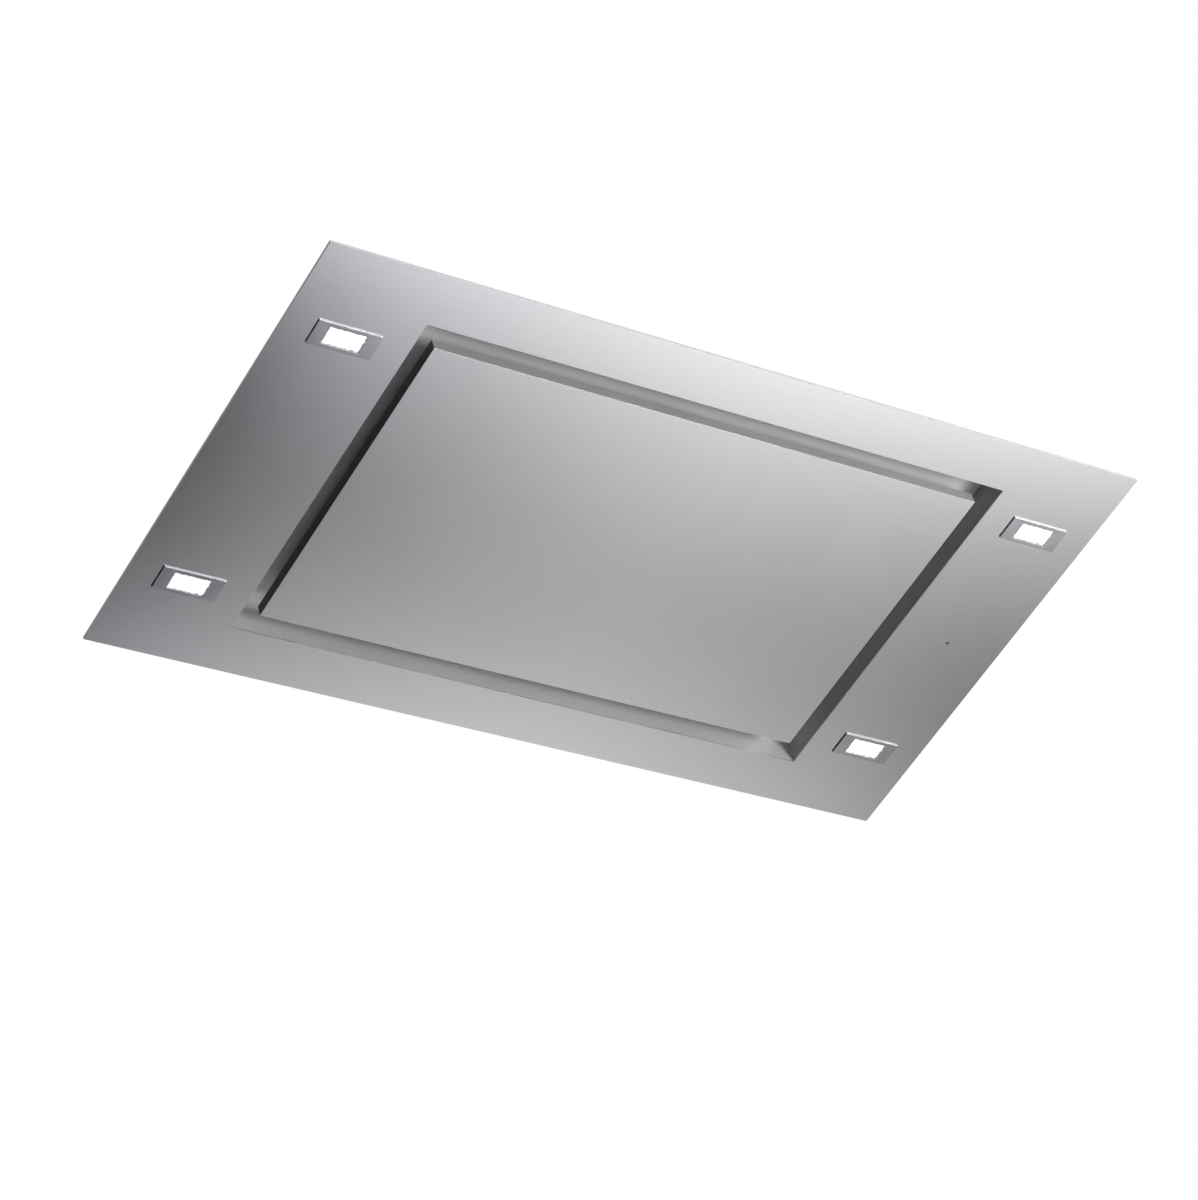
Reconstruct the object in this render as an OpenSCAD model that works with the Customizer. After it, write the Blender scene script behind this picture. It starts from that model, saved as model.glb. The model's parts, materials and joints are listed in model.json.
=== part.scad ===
// Ceiling range hood, 90 x 50 cm. A flush stainless face with four lamps frames a recess, whose
// hinged panel leaves a suction slot on all four sides. Above the ceiling a steel housing holds
// two grease filters, a double-inlet blower with its backdraft damper, and the controls.
// X runs along the long side, Y across it and Z up. z = 0 is the underside of the ceiling.

/* [Face] */
// Width of the face
face_w = 900; // [880:1:940]
// Depth of the face
face_d = 500; // [496:1:540]
// Thickness of the stainless sheet
stainless_t = 1; // [0.8:0.1:1.3]
// Height of the rim that is folded up round the face
rim_h = 3; // [3:0.5:6]
// Width of the flange that the rim turns in against the ceiling
rim_return_w = 12; // [8:1:16]
// Width of the face's border at the short ends
border_end = 127; // [120:1:135]
// Width of the face's border along the long sides
border_side = 55; // [53:1:60]
// Height of the recess, from the face to its ledge
recess_depth = 32; // [30:1:40]
// Width of the foot that holds the recess to the face
collar_foot_w = 10; // [6:1:12]

/* [Suction panel] */
// Slot between the panel and the recess at the short ends
slot_end = 19.5; // [14:0.5:26]
// Slot between the panel and the recess along the long sides
slot_side = 22; // [17:0.5:26]
// Height of the panel's folded edge
panel_fold = 12; // [9:1:14]
// Thickness of the steel liner that closes the panel's back
liner_t = 1; // [0.8:0.1:1.3]
// Width of the stiffening beads in the liner
bead_w = 26; // [18:1:34]
// Height of the stiffening beads in the liner
bead_h = 3; // [2:0.5:4]
// Distance from the panel's short edge to the middle of a hinge
hinge_end = 73.5; // [50:0.5:110]
// Distance from the panel's far edge to the hinge axis
hinge_inset = 8; // [6.5:0.5:9]
// Height of the hinge axis over the liner
hinge_rise = 8; // [7.5:0.5:9]
// Radius of the hinge pins
hinge_pin_r = 2; // [1.5:0.1:2.4]
// Width of a hinge bracket
hinge_w = 30; // [24:1:40]
// Thickness of the hinge and hanger steel
bracket_t = 1.5; // [1.2:0.1:2]
// Width of a magnet catch
catch_w = 34; // [28:1:44]
// Depth of a magnet catch
catch_d = 8; // [7:0.5:9]
// Thickness of the strike plates on the liner
strike_t = 1.2; // [0.8:0.1:1.6]

/* [Grease filters] */
// Width of the ledge beyond the filters at the short ends
ledge_end = 39; // [33:1:59]
// Width of the ledge beyond the filters along the long sides
ledge_side = 44; // [39:1:54]
// Thickness of a filter
filter_t = 9; // [8:0.5:12]
// Width of the bar between the two filters
filter_bar_w = 24; // [18:1:32]
// Gap round a filter
filter_clear = 1; // [0.5:0.1:1.5]
// Width of a filter's rails
filter_rail_w = 12; // [10:1:16]
// Gaps in a filter's net, across
net_cols = 11; // [6:1:11]
// Gaps in a filter's net, along
net_rows = 12; // [6:1:12]
// Width of the net's strands
net_strand = 3; // [2:0.5:5]
// Width of a filter latch
latch_w = 60; // [46:1:72]
// Length of a filter latch
latch_l = 18; // [16:1:24]
// Travel of a filter latch
latch_travel = 7; // [6.8:0.1:8]

/* [Lamps and receiver] */
// Width of a lamp's bezel
lamp_w = 64.5; // [60:0.5:70]
// Depth of a lamp's bezel
lamp_d = 28; // [26:0.5:34]
// Height that a bezel stands proud of the face
lamp_proud = 1.6; // [1.3:0.1:3]
// Width of a lamp's window
window_w = 38; // [30:0.5:44]
// Depth of a lamp's window
window_d = 19.5; // [16:0.5:20]
// Depth of the lens behind the bezel's front
lens_recess = 1; // [0.4:0.1:1.3]
// Distance from the face's short edge to the lamp's middle
lamp_inset_x = 63.3; // [60:0.1:70]
// Distance from the face's long edge to the lamp's middle
lamp_inset_y = 94.2; // [80:0.1:120]
// Cooling fins on a lamp
fin_count = 9; // [5:1:12]
// Radius of the remote receiver's lens
receiver_r = 1.75; // [1.5:0.05:3]

/* [Housing] */
// Distance from the face's edge to the housing
housing_inset = 24; // [21:1:25]
// Height of the housing over the ceiling
body_h = 290; // [286:1:330]
// Thickness of the housing's steel
steel_t = 1; // [0.8:0.1:1.4]
// Width of the flange under the cover
top_flange_w = 15; // [12:1:18]
// Distance from the housing's sides to the hanger holes
hang_inset = 36; // [34:1:54]
// Radius of a hanger hole
hang_hole_r = 4.5; // [3.5:0.1:5.5]
// Height of a hanger
hang_h = 30; // [24:1:40]
// Width of a hanger
hang_w = 46; // [36:1:54]

/* [Blower] */
// Radius of the wheel
wheel_r = 78; // [72:0.5:80]
// Width of the wheel
wheel_w = 132; // [116:1:140]
// Depth of the blades
blade_d = 14; // [12:0.5:16]
// Thickness of a blade
blade_t = 1.2; // [1:0.1:1.6]
// Number of blades
blade_count = 40; // [24:1:44]
// Gap between the wheel and the scroll's tongue
tongue_gap = 8; // [6:0.5:10]
// Growth of the scroll's radius from tongue to outlet
scroll_grow = 64; // [56:1:66]
// Gap between the wheel and the scroll's sides
scroll_side_gap = 9; // [8:0.5:12]
// Thickness of the scroll's plastic
scroll_t = 2.5; // [2:0.1:3]
// Width of the scroll's outlet
outlet_w = 140; // [130:1:146]
// Gap between the filters and the scroll
scroll_lift = 10; // [6:1:14]
// Radius of the motor
motor_r = 44; // [38:1:48]
// Radius of the motor's shaft
shaft_r = 4; // [3:0.1:5]

/* [Duct collar] */
// Outer radius of the duct collar
duct_r = 74.5; // [72:0.5:78]
// Height of the duct collar
duct_h = 60; // [48:1:80]
// Thickness of the collar's plastic
duct_t = 2.5; // [2:0.1:3]
// Thickness of the damper flaps
flap_t = 1.5; // [1.2:0.1:2]
// Radius of the flaps' pins
flap_pin_r = 1.5; // [1.2:0.1:2]

/* [Controls] */
// Width of the control box
box_w = 84; // [70:1:90]
// Length of the control box
box_l = 200; // [170:1:240]
// Height of the control box
box_h = 66; // [56:1:80]
// Thickness of the control box's walls
box_t = 2; // [1.6:0.1:2.6]
// Radius of the capacitor
capacitor_r = 15; // [12:0.5:18]
// Radius of the cable's bore in the gland
gland_bore_r = 4; // [3:0.1:5]
// Radius of the gland's thread
gland_r = 8; // [7.5:0.1:10]

/* [Hidden] */
$fn = 64;

// What a cut runs past the surface that it leaves
over = 1;
// How deep a form reaches into the one that it is fused to
bite = 0.5;
// Gap between fixed pieces that fit into each other
fit_gap = 0.3;
// Radial clearance of a pin or shaft that turns
run_gap = 0.05;
// Radial clearance of a pin or screw that stands still in its hole
seat_gap = 0.02;

stainless = [0.74, 0.74, 0.75];
galvanised = [0.60, 0.62, 0.64];
dark_plastic = [0.14, 0.14, 0.15];
grey_plastic = [0.45, 0.46, 0.48];

// Heights of the face, the ledge and the panel
face_z = -rim_h;
plate_top_z = face_z + stainless_t;
ledge_z = face_z + recess_depth;
deck_z = ledge_z + stainless_t;
liner_z = face_z + panel_fold;
liner_top_z = liner_z + liner_t;
cover_z = body_h - steel_t;

// Opening in the face
opening_w = face_w - 2 * border_end;
opening_d = face_d - 2 * border_side;

// Panel and hinge axis
panel_w = opening_w - 2 * slot_end;
panel_d = opening_d - 2 * slot_side;
hinge_spacing = panel_w - 2 * hinge_end;
hinge_y = panel_d / 2 - hinge_inset;
hinge_z = liner_top_z + hinge_rise;
hinge_ear_r = hinge_pin_r + 2 * bracket_t;
hinge_play = 0.5;
hinge_foot_back = 6;
hinge_leaf_back = 22;
hinge_leaf_front = 6;
pin_head_r = 3.5;
pin_head_t = 1.2;
skin_hem_w = 10;

// Liner beads and catches
bead_inset_share = 0.2;
bead_length_share = 0.62;
magnet_h = 4;
magnet_wall = 1.5;
strike_margin = 1;

// Filters and their latches
aperture_w = opening_w / 2 - ledge_end - filter_bar_w / 2;
aperture_d = opening_d - 2 * ledge_side;
filter_w = aperture_w - 2 * filter_clear;
filter_d = aperture_d - 2 * filter_clear;
filter_x = (filter_bar_w + aperture_w) / 2;
catch_y = -(aperture_d + catch_d) / 2;
filter_top_z = ledge_z + filter_t;
foil_t = 0.8;
deck_lip_h = 8;
tongue_w = 20;
tongue_t = 2;
tongue_reach = 5.5;
rear_tongue_w = 14;
rear_tongue_share = 0.32;
latch_wall = 3;
latch_lip = 2.5;
latch_lip_z = 4;
latch_flange_t = 2;
latch_grip_h = 5;
latch_grip_t = 3;
latch_grip_r = 1;
net_t = 0.6;

// Lamps
lamp_x = face_w / 2 - lamp_inset_x;
lamp_y = face_d / 2 - lamp_inset_y;
corners = [[-1, -1], [1, -1], [-1, 1], [1, 1]];
lamp_border_x = 4.5;
lamp_border_y = 2.2;
lamp_neck_w = lamp_w - 2 * lamp_border_x;
lamp_neck_d = lamp_d - 2 * lamp_border_y;
lamp_neck_h = 6;
lamp_wall = 1.8;
lens_flange_t = 2;
lamp_base_t = 3;
lamp_fin_h = 16;
lamp_fin_t = 1.4;
clip_w = 10;
clip_t = 0.5;
clip_reach = 8;
clip_h = 5;

// Receiver and lamp driver
receiver_x = face_w / 2 - lamp_inset_x;
receiver_dome = 0.6;
receiver_w = 30;
receiver_d = 20;
receiver_h = 11;
receiver_stem_h = 7;
driver_w = 42;
driver_l = 130;
driver_h = 22;
driver_tab_l = 12;
driver_tab_t = 2;
driver_hole_r = 1.8;

// Housing, its studs and its cover
housing_w = face_w - 2 * housing_inset;
housing_d = face_d - 2 * housing_inset;
inside_w = housing_w - 2 * steel_t;
inside_d = housing_d - 2 * steel_t;
flange_gap = 3;
foot_y = opening_d / 2 + stainless_t + collar_foot_w;
side_flange_w = inside_d / 2 - foot_y - flange_gap;
end_flange_w = 7;
stud_r = 2;
stud_h = 10;
stud_hole_r = 2.3;
stud_y = inside_d / 2 - side_flange_w / 2;
stud_shares = [-0.42, -0.15, 0.15, 0.42];
nut_r = 4.04;
nut_h = 3.2;
screw_r = 2;
screw_head_r = 3.8;
screw_head_h = 2.4;
screw_l = 9;
side_screw_shares = [-0.33, 0, 0.33];
end_screw_shares = [-0.24, 0.24];
cover_bead_w = 14;
cover_bead_h = 3;
cover_bead_shares = [-0.31, -0.2, 0.2, 0.31];
cover_bead_length_share = 0.66;

// Hangers
hang_x = housing_w - 2 * hang_inset;
hang_y = housing_d - 2 * hang_inset;
hang_t = 2;
hang_tab = 34;
hang_foot = 26;
hang_rib_t = 2;
hang_screw_share = 0.3;

// Blower
mouth_flange_t = 3;
tongue_r = wheel_r + tongue_gap;
scroll_reach = tongue_r + scroll_grow;
tongue_y = scroll_reach - outlet_w;
tongue_a = acos(tongue_y / tongue_r);
function scroll_r(a) = tongue_r + scroll_grow * (a - tongue_a) / (360 - tongue_a);
wheel_y = outlet_w / 2 - scroll_reach;
wheel_z = filter_top_z + scroll_lift + scroll_t + scroll_r(270);
mouth_z = cover_z - wheel_z;
scroll_half = wheel_w / 2 + scroll_side_gap;
scroll_out = scroll_half + scroll_t;
scroll_steps = 36;
seam_w = 8;
seam_angles = [112, 152, 196, 240, 284, 328, 372];
throat_lap = 2;
throat_r = wheel_r - blade_d - throat_lap;
bell_r = scroll_side_gap;
bell_steps = 6;
blade_sweep = 9;
blade_steps = 5;
ring_t = 2;
disc_t = 2;
hub_r = 12;
hub_l = 22;
shaft_end = 3;

// Motor and its carrier
hub_gap = 2;
motor_front = hub_l / 2 + hub_gap;
bush_t = 6;
bush_r = 7;
motor_back = scroll_out + bush_t;
motor_bell = 6;
motor_slots = 12;
motor_slot_w = 5;
motor_slot_depth = 4;
carrier_t = 2;
carrier_r = 30;
carrier_arm_w = 12;
bush_margin = 1;
bush_ring_r = throat_r + bell_r + bush_r + bush_margin;
carrier_angles = [30, 150, 270];

// Duct collar and damper
collar_margin = 15.5;
collar_half = max(duct_r, scroll_out) + collar_margin;
collar_base_t = 3;
collar_screw_inset = 8;
collar_screw = collar_half - collar_screw_inset;
collar_corner_r = 10;
duct_bore = duct_r - duct_t;
stop_rise = 20;
stop_z = body_h + stop_rise;
stop_t = 2;
stop_w = 3;
flap_gap = 1.2;
flap_notch = 1.2;
flap_pin_x = 6;
flap_knuckle_r = flap_pin_r + 1.5;
flap_pin_z = stop_z + stop_t + flap_knuckle_r;
flap_ear_t = 4;
flap_ear_y = 60;
flap_bar_h = 8;

// Control box
box_x = inside_w / 2 - top_flange_w - fit_gap - box_w / 2;
box_bottom_z = cover_z - box_h;
lid_t = 2;
board_t = 1.6;
board_margin = 6;
board_drop = 16;
post_r = 3;
post_inset = 12;
capacitor_h = 52;
gland_y = -box_l / 4;
gland_flange_w = 3;
gland_flange_r = gland_r + gland_flange_w;
gland_dome_step = 1;
gland_flange_t = 4;
gland_dome_h = 16;
gland_thread_h = 12;
gland_nut_t = 4;

// Box with its middle at x, y, between two heights
module slab(w, d, z0, z1, x = 0, y = 0) {
    translate([x - w / 2, y - d / 2, z0]) cube([w, d, z1 - z0]);
}

// Slab with a rectangular hole in its middle
module frame(w, d, hole_w, hole_d, z0, z1) {
    difference() {
        slab(w, d, z0, z1);
        slab(hole_w, hole_d, z0 - over, z1 + over);
    }
}

// Upright cylinder between two heights
module post(r, z0, z1, x = 0, y = 0) {
    translate([x, y, z0]) cylinder(r = r, h = z1 - z0);
}

// Cylinder along X between two places
module rod_x(r, x0, x1, y, z) {
    translate([x0, y, z]) rotate([0, 90, 0]) cylinder(r = r, h = x1 - x0);
}

// Cylinder along Y between two places
module rod_y(r, y0, y1, x, z) {
    translate([x, y1, z]) rotate([90, 0, 0]) cylinder(r = r, h = y1 - y0);
}

// Pan-head screw whose head sits on z, with its shank below
module screw(x, y, z, length) {
    translate([x, y, z]) {
        difference() {
            post(screw_head_r, 0, screw_head_h);
            slab(2 * screw_r, screw_r / 3, screw_head_h / 2, screw_head_h + over);
            slab(screw_r / 3, 2 * screw_r, screw_head_h / 2, screw_head_h + over);
        }
        post(screw_r, -length, bite);
    }
}

// Slab with round ends along Y
module bead(w, l, z0, z1, x, y) {
    slab(w, l - w, z0, z1, x, y);
    post(w / 2, z0, z1, x, y - (l - w) / 2);
    post(w / 2, z0, z1, x, y + (l - w) / 2);
}

// Face

module face_plate() {
    color(stainless) difference() {
        union() {
            frame(face_w, face_d, opening_w, opening_d, face_z, plate_top_z);
            frame(face_w, face_d, face_w - 2 * stainless_t, face_d - 2 * stainless_t, face_z, 0);
            frame(face_w, face_d, face_w - 2 * rim_return_w, face_d - 2 * rim_return_w, -stainless_t, 0);
            for (share = stud_shares, side = [-1, 1])
                post(stud_r, plate_top_z - stainless_t / 2, plate_top_z + stud_h,
                    share * housing_w, side * stud_y);
        }
        for (place = corners)
            slab(lamp_neck_w + 2 * fit_gap, lamp_neck_d + 2 * fit_gap, face_z - over, plate_top_z + over,
                place.x * lamp_x, place.y * lamp_y);
        post(receiver_r + fit_gap / 2, face_z - over, plate_top_z + over, receiver_x, 0);
    }
}

module recess_collar() {
    wall_w = opening_w + 2 * stainless_t;
    wall_d = opening_d + 2 * stainless_t;
    color(stainless) {
        difference() {
            union() {
                frame(wall_w, wall_d, opening_w, opening_d, plate_top_z, deck_z);
                frame(wall_w + 2 * collar_foot_w, wall_d + 2 * collar_foot_w, opening_w, opening_d,
                    plate_top_z, plate_top_z + stainless_t);
                slab(wall_w, wall_d, ledge_z, deck_z);
                for (side = [-1, 1], end = [-1, 1])
                    slab(stainless_t, filter_d, ledge_z, deck_z + deck_lip_h,
                        side * filter_x + end * (aperture_w + stainless_t) / 2);
            }
            for (side = [-1, 1])
                slab(aperture_w, aperture_d, ledge_z - over, deck_z + over, side * filter_x);
        }
    }
}

// Suction panel

module panel_skin() {
    color(stainless) {
        difference() {
            slab(panel_w, panel_d, face_z, liner_z);
            slab(panel_w - 2 * stainless_t, panel_d - 2 * stainless_t, plate_top_z, liner_z + over);
        }
        frame(panel_w, panel_d, panel_w - 2 * skin_hem_w, panel_d - 2 * skin_hem_w,
            liner_z - stainless_t, liner_z);
    }
}

module panel_liner() {
    liner_w = panel_w - 2 * stainless_t;
    bead_x = (0.5 - bead_inset_share) * panel_w;
    bead_l = bead_length_share * panel_d;
    color(galvanised) difference() {
        union() {
            slab(liner_w, panel_d - 2 * stainless_t, liner_z, liner_top_z);
            for (x = [-bead_x, 0, bead_x])
                bead(bead_w, bead_l, liner_z, liner_top_z + bead_h, x, 0);
        }
        for (x = [-bead_x, 0, bead_x])
            bead(bead_w - 2 * liner_t, bead_l - 2 * liner_t, liner_z - over,
                liner_top_z + bead_h - liner_t, x, 0);
    }
}

// Ear round the hinge axis, from the axis up or down to a plate
module hinge_ear(t, x, plate_z, bore_r) {
    low = min(hinge_z, plate_z);
    high = max(hinge_z, plate_z);
    difference() {
        union() {
            rod_x(hinge_ear_r, x - t / 2, x + t / 2, hinge_y, hinge_z);
            slab(t, 2 * hinge_ear_r, low, high, x, hinge_y);
        }
        rod_x(bore_r, x - t / 2 - over, x + t / 2 + over, hinge_y, hinge_z);
    }
}

module hinge_bracket(side) {
    x = side * hinge_spacing / 2;
    foot_front = slot_side / 3;
    color(galvanised) {
        slab(hinge_w, hinge_foot_back + foot_front, ledge_z - bracket_t, ledge_z,
            x, hinge_y + (foot_front - hinge_foot_back) / 2);
        for (end = [-1, 1])
            hinge_ear(bracket_t, x + end * (hinge_w - bracket_t) / 2, ledge_z - bracket_t / 2,
                hinge_pin_r + seat_gap);
    }
}

module hinge_leaf(side) {
    x = side * hinge_spacing / 2;
    lug_w = hinge_w - 2 * bracket_t - 2 * hinge_play;
    color(galvanised) {
        slab(hinge_w + 2 * bracket_t, hinge_leaf_back + hinge_leaf_front,
            liner_top_z, liner_top_z + bracket_t,
            x, hinge_y + (hinge_leaf_front - hinge_leaf_back) / 2);
        hinge_ear(lug_w, x, liner_top_z + bracket_t / 2, hinge_pin_r + run_gap);
    }
}

module hinge_pins() {
    color("silver") for (side = [-1, 1]) {
        x0 = side * hinge_spacing / 2 - hinge_w / 2;
        rod_x(hinge_pin_r, x0 - pin_head_t / 2, x0 + hinge_w + pin_head_t, hinge_y, hinge_z);
        rod_x(pin_head_r, x0 - pin_head_t, x0, hinge_y, hinge_z);
    }
}

module catch_body(side) {
    color(dark_plastic) difference() {
        slab(catch_w, catch_d, liner_top_z + strike_t + magnet_h / 2, ledge_z,
            side * hinge_spacing / 2, catch_y);
        slab(catch_w - 2 * magnet_wall, catch_d - 2 * magnet_wall, liner_top_z + strike_t,
            liner_top_z + strike_t + magnet_h, side * hinge_spacing / 2, catch_y);
    }
}

module catch_magnets() {
    color("silver") for (side = [-1, 1])
        slab(catch_w - 2 * magnet_wall - fit_gap, catch_d - 2 * magnet_wall - fit_gap,
            liner_top_z + strike_t, liner_top_z + strike_t + magnet_h, side * hinge_spacing / 2, catch_y);
}

module catch_strikes() {
    color(galvanised) for (side = [-1, 1])
        slab(catch_w - 2 * strike_margin, catch_d - 2 * strike_margin, liner_top_z, liner_top_z + strike_t,
            side * hinge_spacing / 2, catch_y);
}

// Grease filters, drawn with the middle of their underside at the origin

module filter_block_cut(z0, z1, gap) {
    block_w = latch_w + 2 * latch_wall + 2 * gap;
    block_d = 2 * latch_wall + latch_l + latch_travel + gap;
    slab(block_w, block_d, z0, z1, 0, block_d / 2 - filter_d / 2);
}

module filter_frame() {
    inner_w = filter_w - 2 * filter_rail_w;
    inner_d = filter_d - 2 * filter_rail_w;
    pocket_l = latch_l + latch_travel + fit_gap;
    pocket_y = latch_wall + pocket_l / 2 - filter_d / 2;
    color("lightgray") difference() {
        union() {
            difference() {
                slab(filter_w, filter_d, 0, filter_t);
                slab(inner_w, inner_d, -over, filter_t + over);
                slab(filter_w - 2 * foil_t, filter_d - 2 * foil_t, foil_t, filter_t - foil_t);
            }
            filter_block_cut(0, filter_t, 0);
            for (side = [-1, 1])
                slab(rear_tongue_w, tongue_reach + filter_clear + foil_t,
                    stainless_t, stainless_t + tongue_t,
                    side * rear_tongue_share * filter_w,
                    (filter_d + tongue_reach + filter_clear - foil_t) / 2);
        }
        slab(latch_w - 2 * latch_lip + 2 * fit_gap, pocket_l, -over, latch_lip_z + over, 0, pocket_y);
        slab(latch_w + 2 * fit_gap, pocket_l, latch_lip_z, latch_lip_z + latch_flange_t + fit_gap,
            0, pocket_y);
        slab(tongue_w + 2 * fit_gap, 2 * latch_wall + over, stainless_t - fit_gap,
            stainless_t + tongue_t + fit_gap, 0, latch_wall - filter_d / 2 - over);
    }
}

module filter_net() {
    inner_w = filter_w - 2 * filter_rail_w;
    inner_d = filter_d - 2 * filter_rail_w;
    pitch_x = inner_w / net_cols;
    pitch_y = inner_d / net_rows;
    gap_x = (pitch_x - net_strand) / 2;
    gap_y = (pitch_y - net_strand) / 2;
    edge = 2 * (foil_t + fit_gap);
    color("gainsboro") difference() {
        translate([0, 0, foil_t]) linear_extrude(net_t) difference() {
            square([filter_w - edge, filter_d - edge], center = true);
            for (row = [1:2 * net_rows - 1]) {
                cols = row % 2 == 1 ? net_cols : net_cols - 1;
                for (col = [0:cols - 1])
                    translate([(col - (cols - 1) / 2) * pitch_x, (row - net_rows) * pitch_y / 2])
                        polygon([[-gap_x, 0], [0, -gap_y], [gap_x, 0], [0, gap_y]]);
            }
        }
        filter_block_cut(0, filter_t, fit_gap);
    }
}

module filter_latch() {
    neck_w = latch_w - 2 * latch_lip;
    front = latch_wall - filter_d / 2;
    color(grey_plastic) difference() {
        union() {
            slab(neck_w, latch_l, 0, latch_lip_z + latch_flange_t, 0, front + latch_l / 2);
            slab(latch_w, latch_l, latch_lip_z, latch_lip_z + latch_flange_t, 0, front + latch_l / 2);
            slab(neck_w, latch_grip_t, -latch_grip_h, bite, 0, front + latch_l - latch_grip_t / 2);
            slab(tongue_w, tongue_reach + filter_clear + 2 * latch_wall,
                stainless_t, stainless_t + tongue_t,
                0, front + (latch_wall - tongue_reach - filter_clear) / 2);
        }
        slab(neck_w - 2 * latch_grip_t, latch_l - 2 * latch_grip_t, -over, latch_lip_z / 2,
            0, front + latch_l / 2);
        rod_x(latch_grip_r, -latch_w, latch_w, front + latch_l - latch_grip_t, -latch_grip_h / 2);
    }
}

// Housing

module housing_shell() {
    color(galvanised) difference() {
        union() {
            frame(housing_w, housing_d, inside_w, inside_d, plate_top_z, cover_z);
            frame(housing_w, housing_d, inside_w - 2 * end_flange_w, inside_d - 2 * side_flange_w,
                plate_top_z, plate_top_z + steel_t);
            frame(housing_w, housing_d, inside_w - 2 * top_flange_w, inside_d - 2 * top_flange_w,
                cover_z - steel_t, cover_z);
        }
        for (share = stud_shares, side = [-1, 1])
            post(stud_hole_r, plate_top_z - over, plate_top_z + steel_t + over,
                share * housing_w, side * stud_y);
        cover_holes();
    }
}

// Places of the screws that hold the cover down
function cover_screw_places() = concat(
    [for (share = side_screw_shares, side = [-1, 1])
        [share * housing_w, side * (inside_d - top_flange_w) / 2]],
    [for (share = end_screw_shares, end = [-1, 1])
        [end * (inside_w - top_flange_w) / 2, share * housing_d]]
);

// Places of the screws in the feet of the hangers
function hanger_screw_places() = [
    for (place = corners, end = [-1, 1])
        [place.x * (hang_x / 2 - hang_tab / 2 - hang_foot / 2),
            place.y * hang_y / 2 + end * hang_screw_share * hang_w]
];

module cover_holes() {
    for (p = concat(cover_screw_places(), hanger_screw_places()))
        post(screw_r + seat_gap, cover_z - 2 * steel_t, body_h + over, p.x, p.y);
}

module top_cover() {
    bead_l = cover_bead_length_share * housing_d;
    color(galvanised) difference() {
        union() {
            slab(housing_w, housing_d, cover_z, body_h);
            for (share = cover_bead_shares)
                bead(cover_bead_w, bead_l, cover_z, body_h + cover_bead_h, share * housing_w, 0);
        }
        for (share = cover_bead_shares)
            bead(cover_bead_w - 2 * steel_t, bead_l - 2 * steel_t, cover_z - over, cover_z + cover_bead_h,
                share * housing_w, 0);
        post(duct_bore, cover_z - over, body_h + over);
        for (sx = [-1, 1], sy = [-1, 1])
            post(screw_r + seat_gap, cover_z - over, body_h + over, sx * collar_screw, sy * collar_screw);
        post(gland_r + seat_gap, cover_z - over, body_h + over, box_x, gland_y);
        cover_holes();
    }
}

module hanger(place) {
    web = hang_x / 2 - hang_tab / 2;
    color(galvanised) translate([0, place.y * hang_y / 2, 0]) scale([place.x, 1, 1]) difference() {
        union() {
            slab(hang_foot, hang_w, body_h, body_h + hang_t, web - hang_foot / 2 + hang_t);
            slab(hang_t, hang_w, body_h, body_h + hang_h, web + hang_t / 2);
            slab(hang_tab, hang_w, body_h + hang_h - hang_t, body_h + hang_h, web + hang_tab / 2);
            for (end = [-1, 1])
                translate([web + hang_t, end * (hang_w - hang_rib_t) / 2 + hang_rib_t / 2, body_h + hang_h])
                    rotate([90, 0, 0]) linear_extrude(hang_rib_t)
                        polygon([[0, 0], [hang_tab - hang_t, 0], [0, -hang_h / 2]]);
        }
        post(hang_hole_r, body_h + hang_h - hang_t - over, body_h + hang_h + over, hang_x / 2);
        for (end = [-1, 1])
            post(screw_r + seat_gap, body_h - over, body_h + hang_t + over, web - hang_foot / 2,
                end * hang_screw_share * hang_w);
    }
}

// Blower, drawn with the wheel's axis along the third direction, Y across and Z up

module along_wheel() {
    translate([0, wheel_y, wheel_z]) rotate([90, 0, 90]) children();
}

// Outline of the scroll and its outlet, grown outwards by w
function scroll_outline(w) = let (start = acos((tongue_y - w) / (tongue_r + w))) concat(
    [for (i = [0:scroll_steps]) let (a = start + (360 - start) * i / scroll_steps)
        (scroll_r(a) + w) * [cos(a), sin(a)]],
    [[scroll_reach + w, mouth_z], [tongue_y - w, mouth_z]]
);

// Place of a seam screw: past 360 degrees it is on the outlet's straight wall
function seam_place(a) = let (w = scroll_t + seam_w / 2)
    a > 360 ? [scroll_reach + w, mouth_z / 2] : (scroll_r(a) + w) * [cos(a), sin(a)];

// Bell mouth that leads from the scroll's side into the wheel
module bell_mouth() {
    arc_r = throat_r + bell_r;
    arc_x = scroll_out - bell_r;
    turns = [for (i = [0:bell_steps]) 90 * i / bell_steps];
    rotate_extrude() polygon(concat(
        [for (a = turns) [arc_r - bell_r * sin(a), arc_x + bell_r * cos(a)]],
        [for (i = [bell_steps:-1:0])
            [arc_r - (bell_r - scroll_t) * sin(turns[i]), arc_x + (bell_r - scroll_t) * cos(turns[i])]]
    ));
}

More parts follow.
